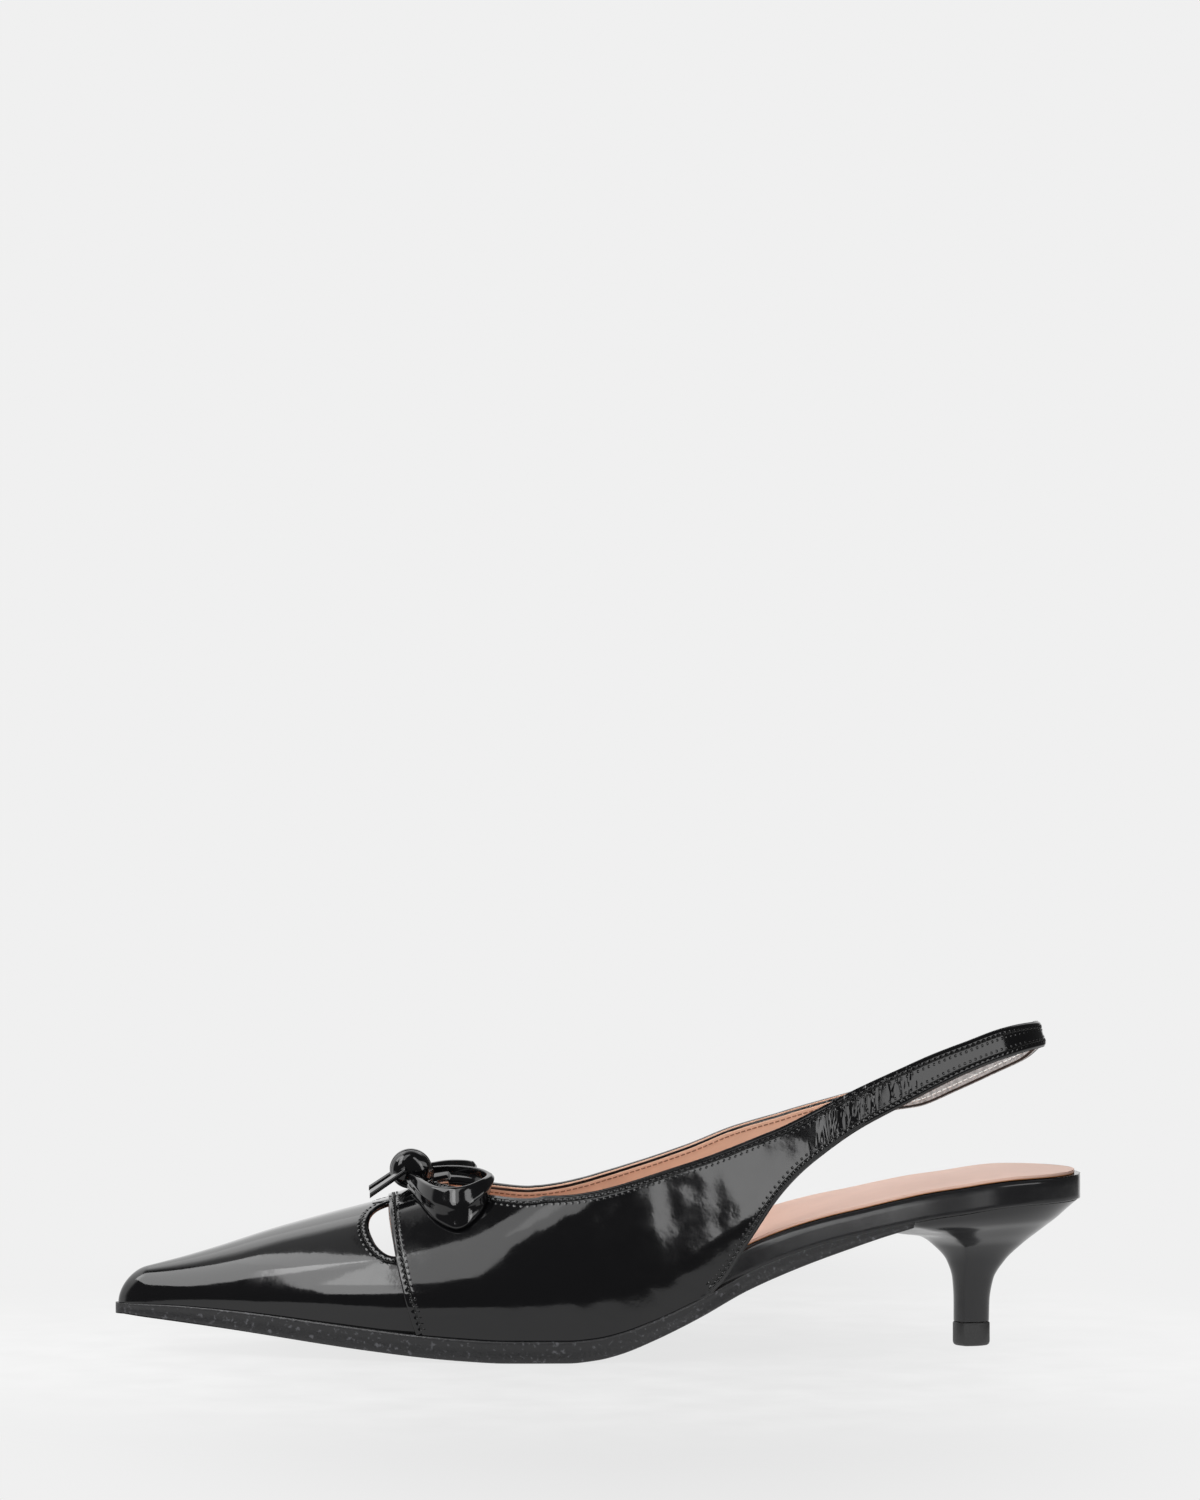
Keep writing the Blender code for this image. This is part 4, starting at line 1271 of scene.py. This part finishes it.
def heel_outline(level, grow=0.0):
    """Plan of the heel at a level: breast corners with a small radius, a convex breast, a round back."""
    back = TIP_BACK + (LENGTH / 2 - HEEL_INSET - TIP_BACK) * HEEL("back", level) + grow
    breast = TIP_BACK - TIP_LENGTH
    breast += (HEEL_BREAST - breast) * HEEL("breast", level) - grow
    corner = TIP_BACK - TIP_CORNER
    corner += (HEEL_CORNER - corner) * HEEL("corner", level)
    seat = (bed_width(LATERAL, HEEL_CORNER) + bed_width(MEDIAL, HEEL_CORNER)) / 2 - HEEL_INSET
    width = TIP_WIDTH / 2 + (seat - TIP_WIDTH / 2) * HEEL("width", level) + grow
    shift = (bed_width(MEDIAL, HEEL_CORNER) - bed_width(LATERAL, HEEL_CORNER)) / 2 * HEEL("width", level)
    power = HEEL_POWER + SEAT_POWER * HEEL("width", level)
    turn = np.linspace(-math.pi / 2, math.pi / 2, ARC_POINTS)
    across = np.sign(turn) * np.abs(np.sin(turn)) ** (2 / power)
    arc = np.stack([corner + (back - corner) * np.cos(turn) ** (2 / power), shift + width * across], -1)
    share = np.linspace(1, -1, BREAST_POINTS)[1:]
    half = width + np.sign(share) * shift
    front = np.stack([breast + (corner - breast) * share * share, half * share], -1)
    outline = np.concatenate([arc, front])
    at = spaced(outline, FINE_STEP)
    at = at[np.linspace(0, len(at) - 1, HEEL_POINTS + 1).astype(int)]
    every = np.arange(len(outline))
    ring = np.stack([np.interp(at, every, outline[:, axis]) for axis in (0, 1)], -1)[:-1]
    return sum(weight * np.roll(ring, step, 0) for weight, step in zip(SOFTEN, range(-2, 3)))


def heel_height(x, level):
    """A heel section hangs from the footbed's underside at the seat and levels out below it."""
    back = sole_top(LENGTH / 2)
    return back * level + (sole_top(x) - back) * level**4


def make_heel(finish):
    foot = TIP_HEIGHT + GAP
    lowest = foot / sole_top(LENGTH / 2)
    rings = []
    for level in np.linspace(lowest, 1, HEEL_SECTIONS):
        plan = heel_outline(level)
        high = heel_height(plan[:, 0], level) if level > lowest else foot + 0 * plan[:, 0]
        rings.append(np.concatenate([plan, high[:, None]], 1))
    close_rings("heel_covered", rings, finish, "heel")


def make_heel_tip(finish):
    plan = heel_outline(0.0, TIP_MARGIN)
    middle = plan.mean(0)
    rings = []
    for inset, height in TIP_SECTIONS:
        ring = middle + (plan - middle) * (1 - inset / (TIP_WIDTH / 2))
        rings.append(np.concatenate([ring, np.full((len(ring), 1), height)], 1))
    close_rings("top_piece", rings, finish, "heel_tip")


# The bow: step under the crease of a loop, folds of the wrapped knot, and points of a ribbon's section.
LOOP_STEP = 0.0004
STEP_TOP, STEP_RUN, STEP_FOOT = 0.55, 0.04, 0.3
LOOP_ROWS, KNOT_ROWS, KNOT_COLUMNS, TAIL_ROWS = 160, 60, 96, 40
KNOT_FOLD, KNOT_FOLDS = 0.05, 14
FOLD_START, FOLD_SLANT = 0.8, 0.6
RIBBON_COUNT, RIBBON_TURN = 14, 6


def ribbon_ring(width):
    """Places round a ribbon's section, as shares across its width from 0 to 1 and of its thickness from -1
    to 1. Its edges are round at their real size for a ribbon of this width."""
    radius = RIBBON / 2 / width
    angles = np.linspace(0, math.pi, RIBBON_TURN + 1)[1:-1]
    wide = np.linspace(radius, 1 - radius, RIBBON_COUNT)
    ring = [(share, 1.0) for share in wide]
    ring += [(1 - radius + radius * math.sin(angle), math.cos(angle)) for angle in angles]
    ring += [(share, -1.0) for share in wide[::-1]]
    ring += [(radius - radius * math.sin(angle), -math.cos(angle)) for angle in angles]
    return ring


def loop_plan(side, way):
    """Place of the ribbon's foot in plan, with the shoe's middle as the second axis's zero."""
    sweep = LOOP_SWEEP * (1.0 if side == LATERAL else FAR_LOOP_SHARE)
    return np.stack([BOW_X + LOOP("along", way) * sweep, LOOP("out", way) * LOOP_REACH], -1)


def loop_point(side, way, share, across):
    """Points of a loop's ribbon: share goes from its foot to its rim, and across through its thickness."""
    step = 0.004
    here = loop_plan(side, way)
    ahead = unit(loop_plan(side, np.minimum(way + step, 1)) - loop_plan(side, np.maximum(way - step, 0)))
    outward = np.stack([-ahead[:, 1], ahead[:, 0]], -1)
    rim_height = BRIDGE + LOOP("rim", way) * LOOP_HEIGHT
    foot = BRIDGE - LOOP("drop", way) * LOOP_DROP
    inner = here[:, 1] - RIBBON / 2
    over = inner > throat_width(side + 0 * inner, here[:, 0]) - 2 * RIBBON
    foot = np.where(over, np.maximum(foot, vamp_height(here[:, 0], side * inner) + 2 * GAP), foot)
    fold = LOOP_CREASE * (1 - abs(share - 0.5) * 2)
    fold = fold - LOOP_STEP * smooth((STEP_TOP - share) / STEP_RUN) * smooth(share / STEP_FOOT)
    spot = here + outward * (across * RIBBON / 2 + fold)
    lean = LOOP("lean", way) * LOOP_HEIGHT * share
    return np.stack([spot[:, 0], side * (spot[:, 1] + lean), foot + (rim_height - foot) * share], -1)


def make_loop(side, finish):
    way = np.linspace(0, 1, LOOP_ROWS)
    points = np.stack([loop_point(side, way, *place) for place in ribbon_ring(LOOP_RIBBON)], 1)
    name = "bow_loop_" + SIDE_NAMES[side]
    close_rings(name + "_ribbon", points, finish, name, None)


def knot_section(share):
    """Radius of the knot at a share of its half-width: a barrel with round ends."""
    return (1 - KNOT_TAPER * share * share) * rounded((1 - np.abs(share)) / KNOT_END)


def make_knot(finish):
    share = np.sin(np.linspace(-math.pi / 2, math.pi / 2, KNOT_ROWS))[:, None]
    turn = np.linspace(0, 2 * math.pi, KNOT_COLUMNS + 1)[None, :-1]
    folds = np.cos(KNOT_FOLDS * share + FOLD_START + FOLD_SLANT * np.sin(turn)) * (1 - share**2)
    radius = knot_section(share) * (1 + KNOT_FOLD * folds)
    x = BOW_X + KNOT_LENGTH / 2 * radius * np.cos(turn)
    y = KNOT_WIDTH / 2 * share + 0 * x
    z = BRIDGE + KNOT_HEIGHT / 2 * (1 + radius * np.sin(turn))
    z = np.maximum(z, vamp_height(x, np.where(np.abs(y) < NEAR_MIDDLE, NEAR_MIDDLE, y)) + 2 * GAP)
    piece = lay_grid("bow_knot_wrapped", around(np.stack([x, y, z], -1)))
    weld()
    finish_piece(piece, finish, "bow_knot")


def make_tail(side, finish):
    share = np.linspace(0, 1, TAIL_ROWS)
    x = BOW_X - TAIL_SETBACK - TAIL_LENGTH * share
    z = BRIDGE + TAIL_RISE - TAIL_DROP * share
    inner = side * (KNOT_WIDTH / 2 + GAP + TAIL_SPLAY * share)
    width = side * TAIL_WIDTH * (TAIL_NECK + (1 - TAIL_NECK) * share)
    columns = []
    for wide, deep in ribbon_ring(TAIL_WIDTH):
        columns.append(np.stack([x, inner + width * wide, z + deep * RIBBON / 2 - TAIL_CURL * wide], -1))
    name = "bow_tail_" + SIDE_NAMES[side]
    close_rings(name + "_ribbon", np.stack(columns, 1), finish, name)


SUNK = 0.00002


def stitch_row(sizes, line, height, closed=False):
    """Places, directions and skin normals of the stitches beside an edge."""
    run, turn = even(*line, sizes.stitch_pitch)
    here, along, inward = edge_frame(run, turn, closed)
    place = settle(run, turn, here + inward * sizes.fold)
    spot = skin_point(*place, height(run, turn))
    return spot[1:-1], along[1:-1], skin_normal(*place)[1:-1]


def one_stitch(sizes):
    """A single stitch along X, rounded at both ends, for copying."""
    start_clear()
    bpy.ops.mesh.primitive_cylinder_add(
        vertices=6, radius=sizes.thread / 2, depth=sizes.stitch_length, rotation=(0, math.pi / 2, 0)
    )
    bpy.ops.object.transform_apply()
    bpy.ops.object.mode_set(mode="EDIT")
    bpy.ops.mesh.select_all(action="SELECT")
    bpy.ops.mesh.bevel(offset=sizes.thread * 0.24, segments=1)
    bpy.ops.object.mode_set(mode="OBJECT")
    bpy.ops.object.shade_smooth()
    return bpy.context.object


def sew(name, sizes, rows, finish):
    """Copies the stitch onto every place of the rows, as one mesh."""
    model = one_stitch(sizes)
    spots, along, normal = (np.concatenate([row[part] for row in rows]) for part in range(3))
    aside = unit(np.cross(normal, along))
    frames = np.stack([along, aside, np.cross(along, aside)], 1)
    places = spots[:, None] + np.einsum("vk,nkc->nvc", corners(model), frames)
    copies = [model]
    for _ in places[1:]:
        copy = model.copy()
        copy.data = model.data.copy()
        bpy.context.collection.objects.link(copy)
        copies.append(copy)
    for copy, place in zip(copies, places):
        copy.data.vertices.foreach_set("co", place.astype(np.float32).reshape(-1))
    finish_piece(join(name, copies), finish, "upper")


def make_stitches(thread, lining_thread, sizes):
    top = lambda run, turn: wall_of(run) - SUNK
    rows = [stitch_row(sizes, topline(), top, closed=True)]
    rows += [stitch_row(sizes, line, top) for line in (sling_foot(), front_edge())]
    rows += [stitch_row(sizes, cut_rim(side), at_height(CAP_WALL - SUNK)) for side in (LATERAL, MEDIAL)]
    sew("upper_stitches", sizes, rows, thread)
    inside = at_height(-SUNK)
    rows = [stitch_row(sizes, topline(), inside, True), stitch_row(sizes, sling_foot(), inside)]
    sew("lining_stitches", sizes, rows, lining_thread)


LENS = 127.7
SENSOR = 36.0
CAMERA_PLACE = (-0.0809, -1.4477, 0.1627)
CAMERA_TURN = 3.2
CAMERA_NEAR, CAMERA_FAR = 0.05, 20

# Softboxes: place and the way they shine, their width's direction, width, height and how bright they look.
SOFTBOXES = {
    "overhead": ((-0.669, -0.111, 0.714), (0.679, 0.159, -0.716), (-0.139, 0.986, 0.087), 0.643, 0.512, 4.4),
    "front": ((-0.401, -0.691, 0.923), (0.251, 0.820, -0.514), (-0.894, 0.401, 0.203), 0.401, 0.831, 2.48),
    "low_strip": (
        (0.058, -0.261, 0.135), (-0.778, 0.425, -0.463), (-0.359, -0.905, -0.227), 0.054, 0.276, 3.87
    ),
    "left": ((-0.618, -0.705, 0.634), (0.752, 0.468, -0.465), (-0.658, 0.575, -0.485), 0.290, 0.828, 4.67),
    "gleam": ((-0.110, -0.189, 0.435), (0.150, 0.459, -0.876), (-0.962, 0.271, -0.023), 0.030, 0.255, 1.2),
    "haze": ((-0.347, 0.084, 0.614), (0.620, -0.304, -0.724), (0.223, 0.952, -0.209), 1.100, 0.151, 0.43),
    "right": ((0.469, -0.467, 0.255), (-0.615, 0.731, -0.292), (0.766, 0.643, 0.0), 0.560, 0.200, 2.7),
}
BACKGROUND = 0.871
FLOOR_GLOW = 0.871
# The floor's glow is darker in its middle, a painted shadow which reaches further from front to back than
# from side to side.
PAINTED_SHADOW_SHAPE = (1.0, 0.35, 1.0)
PAINTED_SHADOW_GLOW = 0.87
TABLE_FRONT = -0.179
FLOOR_SIZE = 3.0


def make_camera():
    view = bpy.data.cameras.new("view")
    view.sensor_fit = "VERTICAL"
    view.sensor_width = view.sensor_height = SENSOR
    view.lens = LENS
    view.clip_start, view.clip_end = CAMERA_NEAR, CAMERA_FAR
    camera = bpy.data.objects.new("view", view)
    bpy.context.scene.collection.objects.link(camera)
    camera.location = CAMERA_PLACE
    camera.rotation_euler = (math.pi / 2, 0, -math.radians(CAMERA_TURN))
    bpy.context.scene.camera = camera


def floor_finish(name, colours, near):
    """Matt paper, lit from below so that shadows stay pale, that fades into the background away from the
    shoe. Its glow has a painted shadow that makes it a little darker in the middle."""
    made = Finish(name)
    away = made.length(made.place())
    shape = {0: made.place(), 1: PAINTED_SHADOW_SHAPE}
    aside = made.length(made.node("ShaderNodeVectorMath", {"operation": "MULTIPLY"}, shape))
    # Painted shadow: the floor's glow is darker near the middle of the floor.
    middle = made.between(aside, near * 0.12, near * 0.58, 1.0, 0.0)
    lit = made.between(away, near * 0.35, near * 0.8, 1.0, 0.0)
    grain = lit * made.noise(0.02, 3.0)
    glow = (FLOOR_GLOW,) * 3
    return made.shade(
        Base_Color=made.blend(grain, shade_of((0, 0, 0)), shade_of(colours.floor, 1.1)),
        Emission_Color=made.blend(middle, shade_of(glow), shade_of(glow, PAINTED_SHADOW_GLOW)),
        Emission_Strength=1.0,
        Roughness=0.7,
        Specular_IOR_Level=0.0,
        Alpha=made.between(away, near, near * 2.2, 1.0, 0.0),
    )


def make_floor(name, front, colours, near):
    start_clear()
    bpy.ops.mesh.primitive_plane_add(size=1, location=(0, 0, 0))
    floor = bpy.context.object
    floor.name = floor.data.name = name
    bpy.ops.object.mode_set(mode="EDIT")
    bpy.ops.mesh.select_all(action="SELECT")
    bpy.ops.transform.resize(value=(FLOOR_SIZE, FLOOR_SIZE / 2 - front, 1))
    bpy.ops.transform.translate(value=(0, (FLOOR_SIZE / 2 + front) / 2, 0))
    bpy.ops.object.mode_set(mode="OBJECT")
    floor.data.materials.append(floor_finish(name, colours, near))
    return floor


def make_light(name, power, place, facing, across, width, height, brightness):
    lamp = bpy.data.lights.new(name, "AREA")
    lamp.shape = "RECTANGLE"
    lamp.size, lamp.size_y = width, height
    lamp.energy = math.pi * width * height * brightness * power
    light = bpy.data.objects.new(name, lamp)
    bpy.context.scene.collection.objects.link(light)
    back, left = -Vector(facing).normalized(), -Vector(across)
    left = (left - back * left.dot(back)).normalized()
    turned = Matrix((left, back.cross(left), back)).transposed().to_4x4()
    light.matrix_world = Matrix.Translation(place) @ turned


def make_world(studio):
    """Even background, in front of a room that is dark but for the pale backdrop behind the shoe."""
    world = bpy.data.worlds.new("studio")
    bpy.context.scene.world = world
    world.use_nodes = True
    made = NodeWork(world.node_tree)
    way = made.node("ShaderNodeTexCoord", output="Generated")
    stops = (0.0, 0.5), (0.35, 0.55), (0.6, 0.8), (0.74, 0.85), (0.83, 0.04)
    shine = made.node("ShaderNodeValToRGB", {"stops": stops}, {"Fac": made.axis("Z", way)})
    ahead = made.between(made.axis("Y", way), -0.03, 0.12)
    behind = ahead * made.between(made.axis("X", way), 0.35, 0.6, 1.0, 0.0)
    room = behind * (shine * studio.backdrop - studio.surround) + studio.surround
    seen = made.node("ShaderNodeLightPath", output="Is Camera Ray")
    back = world.node_tree.nodes["Background"]
    back.inputs["Color"].default_value = (1, 1, 1, 1)
    made.feed(back.inputs["Strength"], seen * (BACKGROUND - room) + room)


def make_stage(colours, studio):
    for name, front in (("studio_floor", -FLOOR_SIZE / 2), ("studio_table", TABLE_FRONT)):
        floor = make_floor(name, front, colours, studio.floor_reach)
        floor.visible_glossy = name == "studio_table"
        floor.visible_camera = floor.visible_diffuse = floor.visible_shadow = name == "studio_floor"
    make_world(studio)
    for name, softbox in SOFTBOXES.items():
        make_light(name, studio.power, *softbox)
    bpy.context.scene.view_settings.view_transform = "Standard"
    make_camera()


def colour(name, description, *default):
    return FloatVectorProperty(
        name=name, description=description, default=default, subtype="COLOR", size=3, min=0, max=1
    )


def number(name, description, default, **kind):
    return FloatProperty(name=name, description=description, default=default, min=0, **kind)


def length(name, description, default):
    return number(name, description, default, unit="LENGTH", precision=5)


class PumpSizes(bpy.types.PropertyGroup):
    fold: length("Fold", "Width of the folded rims up to their stitches", 0.0019)
    pucker: length("Pucker", "Height of the rims' rise and fall between the stitches", 0.00014)
    stitch_pitch: length("Stitch pitch", "Distance from stitch to stitch", 0.00165)
    stitch_length: length("Stitch length", "Length of one stitch", 0.00125)
    thread: length("Thread", "Thickness of the thread", 0.00044)


class PumpColours(bpy.types.PropertyGroup):
    patent: colour("Patent", "Colour of the patent leather", 0.004, 0.004, 0.0045)
    covering: colour("Covering", "Colour of the covered footbed edge and heel", 0.012, 0.012, 0.013)
    lining: colour("Lining", "Colour of the lining", 0.86, 0.55, 0.40)
    # Painted reflection: this grey inside the sling stands in for light reflected there.
    sling_painted_sheen: colour("Sling lining", "Colour of the lining of the sling", 0.30, 0.30, 0.30)
    sock_edge: colour("Sock edge", "Colour of the sock's raw edge", 0.50, 0.19, 0.045)
    # Painted highlight on the stitches inside the sling.
    sling_thread_highlight: colour("Pale thread", "Colour of the thread inside the sling", 0.85, 0.85, 0.83)
    sock: colour("Sock", "Colour of the sock on the footbed", 0.70, 0.46, 0.37)
    thread: colour("Thread", "Colour of the seams' thread", 0.002, 0.002, 0.002)
    lining_thread: colour("Lining thread", "Colour of the thread inside", 0.25, 0.12, 0.07)
    sole: colour("Sole", "Colour of the outsole", 0.010, 0.010, 0.011)
    tip: colour("Top piece", "Colour of the heel's top piece", 0.02, 0.02, 0.02)
    floor: colour("Floor", "Colour of the studio floor", 0.09, 0.09, 0.09)


class PumpFinishes(bpy.types.PropertyGroup):
    patent_roughness: number("Patent roughness", "Blur of the patent's gleams", 0.06, subtype="FACTOR")
    covering_roughness: number("Covering roughness", "Blur of the heel's gleams", 0.15, subtype="FACTOR")


class PumpStudio(bpy.types.PropertyGroup):
    surround: number("Surround", "Brightness of the room", 0.08)
    backdrop: number("Backdrop", "Brightness of the backdrop behind the shoe", 2.0)
    power: number("Power", "Share of the softboxes' full power", 1.0)
    floor_reach: number("Floor reach", "How far the floor reaches before it fades", 0.3, unit="LENGTH")


class PumpSettings(bpy.types.PropertyGroup):
    sizes: PointerProperty(type=PumpSizes)
    colours: PointerProperty(type=PumpColours)
    finishes: PointerProperty(type=PumpFinishes)
    studio: PointerProperty(type=PumpStudio)


class PumpPiece:
    """What the operators share: leathers that more than one piece has."""

    bl_options = {"REGISTER", "UNDO"}

    def patent(self, pump):
        return bpy.data.materials.get("patent_leather") or patent_finish(pump.colours, pump.finishes)

    def covering(self, pump):
        return bpy.data.materials.get("covered_heel") or covering_finish(pump.colours, pump.finishes)


class PUMP_OT_toe_cap(PumpPiece, bpy.types.Operator):
    """Patent toe cap with the folded rims of its cut-outs"""

    bl_idname = "pump.toe_cap"
    bl_label = "Toe cap"

    def execute(self, context):
        pump = context.scene.pump
        make_cap(self.patent(pump), pump.sizes)
        return {"FINISHED"}


class PUMP_OT_quarters(PumpPiece, bpy.types.Operator):
    """Patent quarters, centre strip and sling with their folded rims"""

    bl_idname = "pump.quarters"
    bl_label = "Quarters and sling"

    def execute(self, context):
        pump = context.scene.pump
        make_quarters(self.patent(pump), pump.sizes)
        return {"FINISHED"}


class PUMP_OT_lining(PumpPiece, bpy.types.Operator):
    """Leather lining of the cap, the quarters and the sling"""

    bl_idname = "pump.lining"
    bl_label = "Lining"

    def execute(self, context):
        make_lining(lining_finish(context.scene.pump.colours))
        return {"FINISHED"}


class PUMP_OT_stitches(PumpPiece, bpy.types.Operator):
    """Stitches beside every folded edge, outside and inside"""

    bl_idname = "pump.stitches"
    bl_label = "Stitches"

    def execute(self, context):
        pump = context.scene.pump
        inside = thread_finish("lining_thread", pump.colours.lining_thread, pump.colours.sling_thread_highlight)
        make_stitches(thread_finish("thread", pump.colours.thread), inside, pump.sizes)
        return {"FINISHED"}


class PUMP_OT_footbed(PumpPiece, bpy.types.Operator):
    """Covered edge of the footbed and the sock on it"""

    bl_idname = "pump.footbed"
    bl_label = "Footbed and sock"

    def execute(self, context):
        make_footbed(self.covering(context.scene.pump))
        make_sock(sock_finish(context.scene.pump.colours))
        return {"FINISHED"}


class PUMP_OT_outsole(PumpPiece, bpy.types.Operator):
    """Outsole with its rough bead"""

    bl_idname = "pump.outsole"
    bl_label = "Outsole"

    def execute(self, context):
        make_outsole(sole_finish(context.scene.pump.colours))
        return {"FINISHED"}


class PUMP_OT_heel(PumpPiece, bpy.types.Operator):
    """Covered kitten heel and its top piece"""

    bl_idname = "pump.heel"
    bl_label = "Heel and top piece"

    def execute(self, context):
        make_heel(self.covering(context.scene.pump))
        make_heel_tip(tip_finish(context.scene.pump.colours))
        return {"FINISHED"}


class PUMP_OT_bow(PumpPiece, bpy.types.Operator):
    """Knot, loops and tails of the bow"""

    bl_idname = "pump.bow"
    bl_label = "Bow"

    def execute(self, context):
        finish = self.patent(context.scene.pump)
        make_knot(finish)
        for side in (LATERAL, MEDIAL):
            make_loop(side, finish)
            make_tail(side, finish)
        return {"FINISHED"}


class PUMP_OT_stage(PumpPiece, bpy.types.Operator):
    """Floor, backdrop, lights and camera"""

    bl_idname = "pump.stage"
    bl_label = "Studio"

    def execute(self, context):
        make_stage(context.scene.pump.colours, context.scene.pump.studio)
        return {"FINISHED"}


PIECES = (
    PUMP_OT_toe_cap,
    PUMP_OT_quarters,
    PUMP_OT_lining,
    PUMP_OT_stitches,
    PUMP_OT_footbed,
    PUMP_OT_outsole,
    PUMP_OT_heel,
    PUMP_OT_bow,
    PUMP_OT_stage,
)


class PUMP_PT_panel(bpy.types.Panel):
    """The pump's settings and its pieces, in the order they are made"""

    bl_label = "Kitten heel pump"
    bl_idname = "PUMP_PT_panel"
    bl_space_type = "VIEW_3D"
    bl_region_type = "UI"
    bl_category = "Pump"

    def draw(self, context):
        settings = context.scene.pump
        for group in (settings.sizes, settings.colours, settings.finishes, settings.studio):
            box = self.layout.box()
            for key in group.__annotations__:
                box.prop(group, key)
        for piece in PIECES:
            self.layout.operator(piece.bl_idname)


CLASSES = (PumpSizes, PumpColours, PumpFinishes, PumpStudio, PumpSettings, *PIECES, PUMP_PT_panel)


def register():
    for made in CLASSES:
        bpy.utils.register_class(made)
    bpy.types.Scene.pump = PointerProperty(type=PumpSettings)


def unregister():
    del bpy.types.Scene.pump
    for made in reversed(CLASSES):
        bpy.utils.unregister_class(made)


def main():
    register()
    for piece in PIECES:
        group, call = piece.bl_idname.split(".")
        getattr(getattr(bpy.ops, group), call)()


if __name__ == "__main__":
    main()
